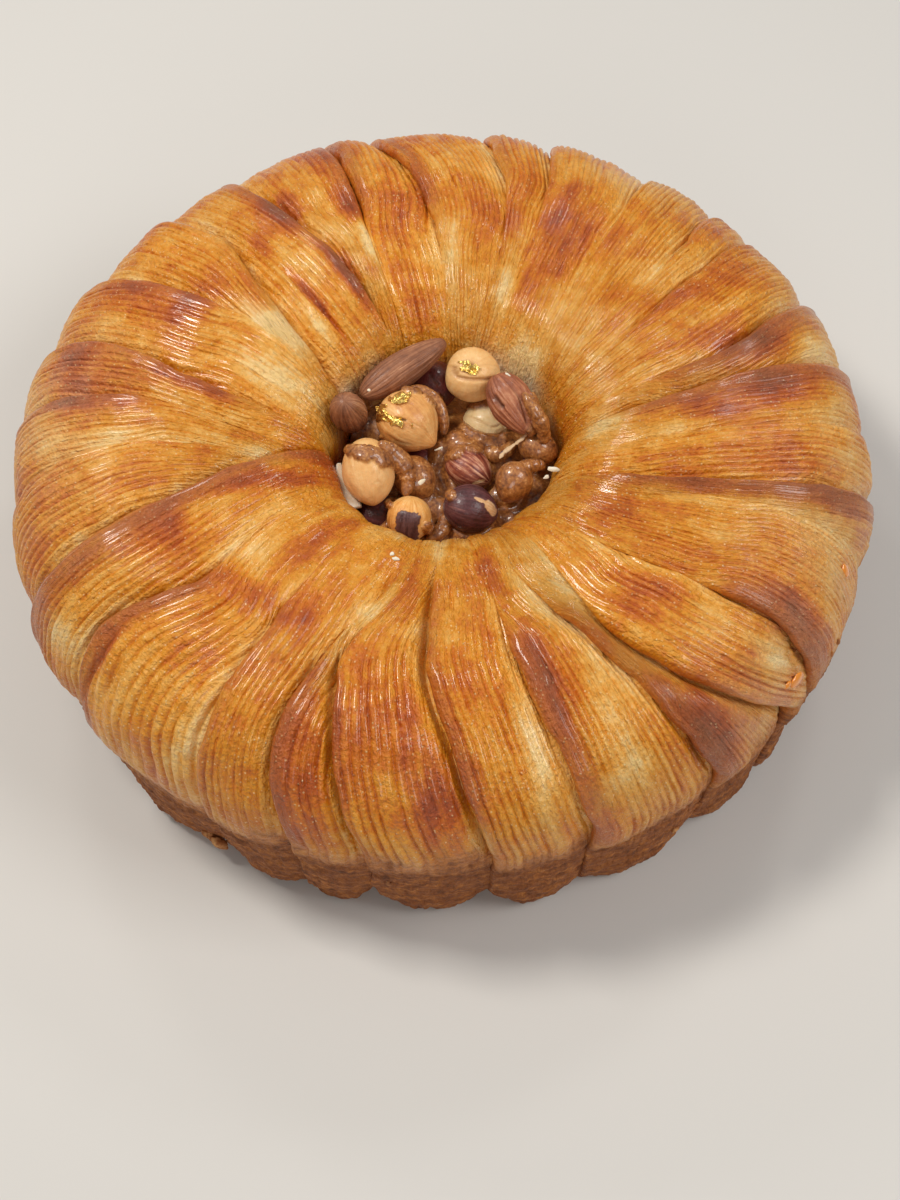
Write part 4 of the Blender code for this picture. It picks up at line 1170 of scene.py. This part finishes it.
def ramp(tree, value, stops):
    """A colour ramp from (position, screen colour) stops."""
    made = tree.nodes.new("ShaderNodeValToRGB")
    tree.links.new(value, made.inputs[0])
    elements = made.color_ramp.elements
    while len(elements) > 1:
        elements.remove(elements[-1])
    elements[0].position, elements[0].color = stops[0][0], linear(stops[0][1])
    for position, color in stops[1:]:
        elements.new(position).color = linear(color)
    return made.outputs["Color"]


def mix(tree, share, a, b):
    """Mixes two colours, each a socket or a screen colour."""
    made = tree.nodes.new("ShaderNodeMix")
    made.data_type = "RGBA"
    feed(tree, made.inputs["Factor"], share)
    for socket, value in ((made.inputs[6], a), (made.inputs[7], b)):
        feed(tree, socket, value if isinstance(value, bpy.types.NodeSocket) else linear(value))
    return made.outputs[2]


def attribute(tree, name, output="Fac"):
    """Reads a mask or vector that was stored on the mesh."""
    made = tree.nodes.new("ShaderNodeAttribute")
    made.attribute_name = name
    return made.outputs[output]


def object_place(tree):
    """Place on the object, in metres."""
    return tree.nodes.new("ShaderNodeTexCoord").outputs["Object"]


def noise_node(tree, vector, scale, detail=2.0, roughness=0.5):
    """Noise centred on zero."""
    made = add(tree, "ShaderNodeTexNoise", Vector=vector, Scale=scale, Detail=detail, Roughness=roughness)
    return math_node(tree, "SUBTRACT", made.outputs[0], 0.5)


def stretched(tree, vector, factors):
    """A vector multiplied axis by axis."""
    made = tree.nodes.new("ShaderNodeVectorMath")
    made.operation = "MULTIPLY"
    feed(tree, made.inputs[0], vector)
    feed(tree, made.inputs[1], factors)
    return made.outputs[0]


def bumpy(tree, height, distance, strength=1.0):
    """A normal that follows a height, with a distance in metres."""
    return add(tree, "ShaderNodeBump", Strength=strength, Distance=distance, Height=height).outputs[0]


def new_material(name, **values):
    """A material, its node tree and its shader, with the shader's constants set by name."""
    made = bpy.data.materials.new(name)
    made.use_nodes = True
    tree = made.node_tree
    shader = tree.nodes["Principled BSDF"]
    feed_all(tree, shader.inputs, values)
    return made, tree, shader.inputs


# %% Shared effects as node groups
def node_group(name, inputs, outputs):
    """An empty shader group with named number or vector sockets."""
    tree = bpy.data.node_groups.new(name, "ShaderNodeTree")
    for socket_name, kind, value in inputs:
        socket = tree.interface.new_socket(name=socket_name, in_out="INPUT", socket_type="NodeSocket" + kind)
        if value is not None:
            socket.default_value = value
    for socket_name, kind in outputs:
        tree.interface.new_socket(name=socket_name, in_out="OUTPUT", socket_type="NodeSocket" + kind)
    return tree, tree.nodes.new("NodeGroupInput").outputs, tree.nodes.new("NodeGroupOutput").inputs


def use_group(tree, group, **values):
    """Places a node group and returns its outputs."""
    made = tree.nodes.new("ShaderNodeGroup")
    made.node_tree = group
    feed_all(tree, made.inputs, values)
    return made.outputs


def glint_group():
    """Tiny round grains scattered over a surface: a mask of 1 on each grain."""
    inputs = (("Vector", "Vector", None), ("Scale", "Float", 500.0), ("Size", "Float", 0.25),
              ("Share", "Float", 0.3))
    tree, source, result = node_group("Sugar grains and glints", inputs, (("Mask", "Float"),))
    cells = add(tree, "ShaderNodeTexVoronoi", Vector=source["Vector"], Scale=source["Scale"], Randomness=1.0)
    tint = tree.nodes.new("ShaderNodeSeparateColor")
    feed(tree, tint.inputs[0], cells.outputs["Color"])
    chosen = math_node(tree, "LESS_THAN", tint.outputs[0], source["Share"])
    edge = math_node(tree, "DIVIDE", cells.outputs["Distance"], source["Size"])
    dome = math_node(tree, "SUBTRACT", 1.0, math_node(tree, "POWER", edge, 2.0), clamp=True)
    feed(tree, result["Mask"], math_node(tree, "MULTIPLY", dome, chosen))
    return tree


def grain_group():
    """Pores and fibres of a dry surface, centred on zero: coarse and fine noise together."""
    inputs = (("Vector", "Vector", None), ("Coarse", "Float", 300.0), ("Fine", "Float", 1500.0),
              ("Fine share", "Float", 0.35))
    tree, source, result = node_group("Fine grain", inputs, (("Height", "Float"),))
    coarse = noise_node(tree, source["Vector"], source["Coarse"])
    fine = noise_node(tree, source["Vector"], source["Fine"])
    feed(tree, result["Height"], total(tree, coarse, (fine, source["Fine share"])))
    return tree


def kernel_group():
    """Streaks from end to end of a kernel, with cloudy spots: a tone about a half, and a height."""
    inputs = (("Kernel", "Vector", None), ("Place", "Vector", None), ("Stripes", "Float", 1.0))
    tree, source, result = node_group("Kernel streaks", inputs, (("Tone", "Float"), ("Height", "Float")))
    streak, place = stretched(tree, source["Kernel"], (6.0, 0.8, 1.0)), source["Place"]
    tone = total(tree, 0.5, (noise_node(tree, streak, 1.0, 4.0, 0.6), source["Stripes"]),
                 (noise_node(tree, place, 130.0, 3.0), 0.9), (noise_node(tree, place, 900.0), 0.35))
    feed(tree, result["Tone"], tone)
    fine = use_group(tree, GRAIN, Vector=place, Coarse=700.0, Fine=2200.0, Fine_share=0.6)["Height"]
    feed(tree, result["Height"], total(tree, fine, (noise_node(tree, streak, 2.2, 3.0), 0.8)))
    return tree


def praline_group():
    """The speckled browns of grainy praline."""
    inputs = (("Vector", "Vector", None), ("Contrast", "Float", 1.0))
    tree, source, result = node_group("Praline speckle", inputs, (("Color", "Color"),))
    place = source["Vector"]
    speckle = use_group(tree, GRAIN, Vector=place, Coarse=420.0, Fine=1400.0, Fine_share=1.3)["Height"]
    browns = ((0.1, (102, 56, 24)), (0.4, (152, 92, 42)), (0.65, (178, 116, 58)), (0.95, (222, 168, 104)))
    feed(tree, result["Color"], ramp(tree, total(tree, 0.47, (speckle, source["Contrast"])), browns))
    return tree


GRAINS_AND_GLINTS = glint_group()
GRAIN = grain_group()
KERNEL_STREAKS = kernel_group()
PRALINE_SPECKLE = praline_group()


# %% Crust
# Ramps run from the palest to the darkest bake, as (place, screen colour).
BAKE = ((0.0, (245, 206, 136)), (0.18, (237, 176, 82)), (0.36, (224, 145, 27)), (0.52, (208, 114, 10)),
        (0.68, (183, 84, 8)), (0.84, (158, 66, 12)), (1.0, (126, 56, 20)))
LIP_BROWN = ((0.0, (196, 128, 70)), (0.45, (168, 96, 46)), (1.0, (130, 66, 32)))
# These two run the other way, from dark to pale.
MOULD_SIDE = ((0.0, (94, 48, 20)), (0.4, (148, 84, 38)), (0.75, (192, 120, 56)), (1.0, (228, 168, 98)))
SCORCHED = ((0.0, (150, 84, 28)), (0.5, (200, 124, 50)), (1.0, (226, 164, 88)))
# Painted glint: the grains are lightened towards this colour where the glaze would catch the light.
SUGAR_GLINT = (255, 228, 168)
# Raw dough's floury colour, also used for the painted sheen on the shoulders.
FLOUR_AND_SHEEN = (236, 220, 190)
MASKS = ("lip", "tucked", "toast_and_shade", "groove", "side", "own", "wet", "raw_and_sheen")


def crust_color(tree, place, strand, mask, grains_and_glints):
    """Golden on top, brown on the lips, floury where raw, and dark where the mould held it, with painted
    shade in the grooves and on the hole's wall, painted sheen on the shoulders and painted glints on the
    grains.
    """
    streak = stretched(tree, strand, (0.7, 0.09, 1.0))
    # Painted shade: the groove mask darkens the grooves of the threads, and the toast mask holds a dark spot
    # on the hole's wall.
    bake = total(tree, 0.41, (noise_node(tree, place, 45.0, 3.0), 0.72),
                 (noise_node(tree, place, 260.0, 3.0), 0.4), (noise_node(tree, place, 900.0), 0.26),
                 (noise_node(tree, streak, 1.0), 0.3), (mask["toast_and_shade"], 0.92), (mask["lip"], 0.22),
                 (mask["own"], -0.14), (mask["tucked"], -0.2), (mask["groove"], 0.13))
    # Painted glints on the grains.
    crust = mix(tree, math_node(tree, "MULTIPLY", grains_and_glints, 0.55), ramp(tree, bake, BAKE), SUGAR_GLINT)
    cloudy = noise_node(tree, place, 160.0, 3.0)
    # Floury dough on the hole's wall, and painted sheen on the shoulders, from the same mask.
    floury_and_sheen = math_node(tree, "MULTIPLY_ADD", cloudy, 0.9, mask["raw_and_sheen"], clamp=True)
    crust = mix(tree, math_node(tree, "MULTIPLY", floury_and_sheen, mask["raw_and_sheen"], clamp=True), crust, FLOUR_AND_SHEEN)
    brown = total(tree, 0.4, (noise_node(tree, streak, 2.5), 0.9), (mask["toast_and_shade"], 0.35))
    brown = ramp(tree, brown, LIP_BROWN)
    crust = mix(tree, math_node(tree, "MULTIPLY", mask["lip"], 0.6, clamp=True), crust, brown)
    layers = noise_node(tree, stretched(tree, strand, (0.22, 0.8, 1.0)), 1.0)
    side_tone = total(tree, 0.42, (noise_node(tree, place, 420.0, 4.0, 0.7), 1.5), (layers, 0.9))
    first_half = math_node(tree, "MULTIPLY", mask["side"], 2.2, clamp=True)
    second_half = math_node(tree, "MULTIPLY_ADD", mask["side"], 2.4, -1.4, clamp=True)
    crust = mix(tree, first_half, crust, ramp(tree, side_tone, SCORCHED))
    return mix(tree, second_half, crust, ramp(tree, side_tone, MOULD_SIDE))


def crust_gloss(tree, place, mask, grains_and_glints):
    """Weight of the glaze: patchy, full where it pooled and on the grains, none on the side."""
    gloss = math_node(tree, "MULTIPLY_ADD", noise_node(tree, place, 90.0), 0.7,
                      total(tree, 0.2, (mask["wet"], 0.9)), clamp=True)
    gloss = math_node(tree, "MULTIPLY_ADD", grains_and_glints, 0.6, gloss, clamp=True)
    top = math_node(tree, "SUBTRACT", 1.0, mask["side"])
    return math_node(tree, "MULTIPLY", gloss, top, clamp=True)


def crust_height(tree, place, strand, grains_and_glints):
    """Beads and fine lines along the threads, pores, and the grains of sugar."""
    bead = noise_node(tree, stretched(tree, strand, (2.2, 0.75, 1.0)), 1.0, 2.0, 0.6)
    lines = noise_node(tree, stretched(tree, strand, (4.0, 0.1, 1.0)), 1.0, 1.0)
    pores = use_group(tree, GRAIN, Vector=place, Coarse=620.0, Fine=1900.0, Fine_share=0.5)["Height"]
    return total(tree, bead, (lines, 0.5), (pores, 0.35), (grains_and_glints, 0.12))


def crust_material():
    """Glazed brioche crust, from the masks that each fold carries."""
    made, tree, sockets = new_material(
        "crust", Coat_Roughness=0.12, Specular_IOR_Level=0.4, Subsurface_Weight=0.06,
        Subsurface_Radius=(1.0, 0.45, 0.15), Subsurface_Scale=0.0015)
    place, strand = object_place(tree), attribute(tree, "strand", "Vector")
    mask = {name: attribute(tree, name) for name in MASKS}
    grains_and_glints = use_group(tree, GRAINS_AND_GLINTS, Vector=place, Scale=820.0, Size=0.25, Share=0.55)["Mask"]
    feed(tree, sockets["Base Color"], crust_color(tree, place, strand, mask, grains_and_glints))
    feed(tree, sockets["Coat Weight"], crust_gloss(tree, place, mask, grains_and_glints))
    feed(tree, sockets["Roughness"], total(tree, 0.45, (mask["side"], 0.25)))
    feed(tree, sockets["Normal"], bumpy(tree, crust_height(tree, place, strand, grains_and_glints), 0.00105))
    return made


crust = crust_material()
for piece in folds + [core]:
    piece.data.materials.append(crust)

# %% Nuts and praline
SKIN_PATCH = ((0.2, (72, 42, 44)), (0.5, (104, 70, 70)), (0.9, (136, 98, 92)))
FLESH = ((0.2, (196, 140, 92)), (0.6, (226, 180, 128)), (0.9, (240, 208, 164)))
# Tones of each look, tones where it is torn, strength of its stripes, roughness, coat, and the painted shade
# colour in its creases.
NUT_LOOKS = {
    "brown_skin": (((0.1, (84, 46, 30)), (0.45, (136, 84, 54)), (0.7, (164, 108, 74)),
                    (0.95, (200, 148, 110))), None, 1.3, 0.6, 0.1, (60, 30, 22)),
    "russet_skin": (((0.1, (98, 48, 32)), (0.45, (150, 84, 54)), (0.7, (178, 110, 74)),
                     (0.95, (206, 146, 108))), None, 1.5, 0.55, 0.15, (66, 30, 20)),
    "striped_skin": (((0.15, (96, 34, 28)), (0.45, (146, 72, 50)), (0.65, (186, 120, 90)),
                      (0.9, (222, 172, 138))), FLESH, 2.2, 0.42, 0.15, (96, 52, 28)),
    "roasted": (((0.1, (192, 118, 54)), (0.4, (228, 162, 90)), (0.6, (242, 184, 112)),
                 (0.9, (252, 214, 150))), None, 1.0, 0.42, 0.25, (70, 36, 18)),
    "blanched": (((0.1, (212, 148, 80)), (0.45, (240, 186, 118)), (0.9, (252, 216, 156))),
                 None, 0.5, 0.45, 0.2, (170, 110, 60)),
    "pale": (((0.1, (214, 170, 108)), (0.45, (238, 206, 150)), (0.9, (250, 230, 186))),
             None, 0.5, 0.42, 0.25, (170, 120, 70)),
    "patched": (((0.1, (196, 126, 56)), (0.4, (232, 166, 84)), (0.9, (250, 208, 140))),
                SKIN_PATCH, 1.3, 0.42, 0.15, (96, 52, 28)),
    "red_skin": (((0.1, (62, 18, 18)), (0.5, (104, 40, 36)), (0.9, (150, 80, 66))),
                 None, 0.8, 0.42, 0.35, (96, 52, 28)),
    "dark_skin": (((0.1, (48, 22, 26)), (0.45, (82, 42, 46)), (0.7, (106, 62, 64)),
                   (0.95, (150, 104, 98))), FLESH, 1.5, 0.42, 0.25, (40, 18, 20)),
}
SAUCE_COAT = 0.9


def nut_material(name, stops, torn_stops, stripes, rough, coat, dark):
    """A kernel: streaked from end to end, with torn places, sauce and painted shade in its creases, all from
    its masks.
    """
    made, tree, sockets = new_material(
        name, Roughness=rough, Coat_Roughness=0.16, Subsurface_Weight=0.05,
        Subsurface_Radius=(1.0, 0.5, 0.25), Subsurface_Scale=0.001)
    place, coated = object_place(tree), attribute(tree, "coated")
    streaks = use_group(tree, KERNEL_STREAKS, Kernel=attribute(tree, "kernel", "Vector"), Place=place,
                        Stripes=stripes)
    color = ramp(tree, streaks["Tone"], stops)
    if torn_stops:
        color = mix(tree, attribute(tree, "torn"), color, ramp(tree, streaks["Tone"], torn_stops))
    # Painted shade in the creases and the dent.
    color = mix(tree, math_node(tree, "MULTIPLY", attribute(tree, "shaded_crease"), 0.75), color, dark)
    color = mix(tree, coated, color, use_group(tree, PRALINE_SPECKLE, Vector=place)["Color"])
    feed(tree, sockets["Base Color"], color)
    feed(tree, sockets["Coat Weight"], total(tree, coat, (coated, SAUCE_COAT - coat)))
    feed(tree, sockets["Normal"], bumpy(tree, streaks["Height"], 0.00028, 0.6))
    return made


def praline_material():
    """Grainy, glossy hazelnut praline."""
    made, tree, sockets = new_material("praline", Roughness=0.45, Coat_Weight=SAUCE_COAT, Coat_Roughness=0.1)
    place = object_place(tree)
    feed(tree, sockets["Base Color"], use_group(tree, PRALINE_SPECKLE, Vector=place)["Color"])
    fine = use_group(tree, GRAIN, Vector=place, Coarse=800.0, Fine=2000.0, Fine_share=0.6)["Height"]
    feed(tree, sockets["Normal"], bumpy(tree, fine, 0.0002, 0.6))
    return made


LOOKS = {name: nut_material(name, *values) for name, values in NUT_LOOKS.items()}
LOOKS["coated"] = praline_material()
for piece in [praline] + runs:
    piece.data.materials.append(LOOKS["coated"])
for nut in NUTS:
    nuts[nut.name].data.materials.append(LOOKS[nut.look])


# %% Gold, almond white, strand, glaze drops and crumbs
def speckled_material(name, coarse, fine, weight, stops, **values):
    """A dry, finely speckled surface."""
    made, tree, sockets = new_material(name, **values)
    speckle = use_group(tree, GRAIN, Vector=object_place(tree), Coarse=coarse, Fine=fine, Fine_share=0.6)
    feed(tree, sockets["Base Color"], ramp(tree, total(tree, 0.5, (speckle["Height"], weight)), stops))
    return made


ALMOND_WHITE = ((0.1, (208, 190, 156)), (0.5, (238, 228, 204)), (0.9, (252, 248, 234)))
CRUMB_BROWN = ((0.1, (120, 66, 32)), (0.5, (172, 110, 58)), (0.9, (214, 160, 100)))
white = speckled_material("almond_white", 300.0, 1200.0, 0.9, ALMOND_WHITE, Roughness=0.5,
                          Subsurface_Weight=0.15, Subsurface_Radius=(1.0, 0.8, 0.6), Subsurface_Scale=0.001)
crumb = speckled_material("crumb", 500.0, 1500.0, 1.4, CRUMB_BROWN, Roughness=0.7)
gold, _, _ = new_material("gold_leaf", Base_Color=linear((252, 214, 120)), Metallic=1.0, Roughness=0.3)
tan, _, _ = new_material("skin_strand", Base_Color=linear((222, 188, 146)), Roughness=0.5)
amber, _, _ = new_material("set_glaze", Base_Color=linear((232, 140, 36)), Roughness=0.2, Coat_Weight=1.0)
for piece in leaves:
    piece.data.materials.append(gold)
for piece in [flake] + chips:
    piece.data.materials.append(white)
strand.data.materials.append(tan)
for (_, _, _, kind), piece in zip(BITS, bits):
    piece.data.materials.append({"glaze": amber, "crumb": crumb, "chip": white}[kind])
print("materials:", len(bpy.data.materials))

# %% [markdown]
# ## Floor, light and camera
#
# A pale floor and soft lights let the glaze and the threads show. The key stands high at the left,
# where its light grazes the threads, and two small lights behind give the glaze its glints. The
# camera stands where a person at the table does, and looks down at a little under sixty degrees.

# %% Stage
floor = grid_object("floor", 2, 2, size=3.0)
floor_material, _, _ = new_material("floor", Base_Color=linear((214, 212, 208)), Roughness=0.8)
floor.data.materials.append(floor_material)

world = bpy.data.worlds.new("world")
bpy.context.scene.world = world
world.use_nodes = True
background = world.node_tree.nodes["Background"]
background.inputs["Color"].default_value = (1.0, 0.98, 0.95, 1.0)
background.inputs["Strength"].default_value = 0.27

# Name, place, height of the point it looks at over the middle, size in metres, watts, colour.
LIGHTS = (
    ("key", (-0.44, 0.12, 0.87), 0.04, 0.22, 5.1, (1.0, 0.95, 0.88)),
    ("right", (0.62, -0.2, 0.75), 0.04, 0.4, 3.0, (1.0, 0.98, 0.96)),
    ("low_front", (0.05, -0.85, 0.52), 0.04, 0.3, 0.9, (1.0, 0.97, 0.95)),
    ("back_right", (0.36, 0.6, 0.76), 0.05, 0.14, 0.8, (1.0, 0.98, 0.95)),
    ("back_left", (-0.3, 0.7, 0.66), 0.05, 0.14, 0.75, (1.0, 0.98, 0.95)),
)
for name, place, aim_height, size, power, color in LIGHTS:
    lamp = bpy.data.lights.new(name, "AREA")
    lamp.size = size
    lamp.energy = power
    lamp.color = color
    light = bpy.data.objects.new(name, lamp)
    light.location = place
    looking = Vector((0, 0, aim_height)) - Vector(place)
    light.rotation_euler = looking.to_track_quat("-Z", "Y").to_euler()
    bpy.context.collection.objects.link(light)
print("lights:", len(LIGHTS))

# %% Camera
FORWARD = Vector((0.002959, 0.527786, -0.849372))
RIGHT = Vector((0.999644, -0.024084, -0.011483))
UP = Vector((0.026517, 0.849036, 0.527669))
lens = bpy.data.cameras.new("camera")
lens.lens = 54.0
lens.sensor_width = 36.0
lens.clip_start = 0.01
camera = bpy.data.objects.new("camera", lens)
turn = Matrix((RIGHT, UP, -FORWARD)).transposed().to_4x4()
camera.matrix_world = Matrix.Translation((0.0, -0.27728, 0.42313)) @ turn
bpy.context.collection.objects.link(camera)
bpy.context.scene.camera = camera
bpy.context.scene.view_settings.view_transform = "Standard"
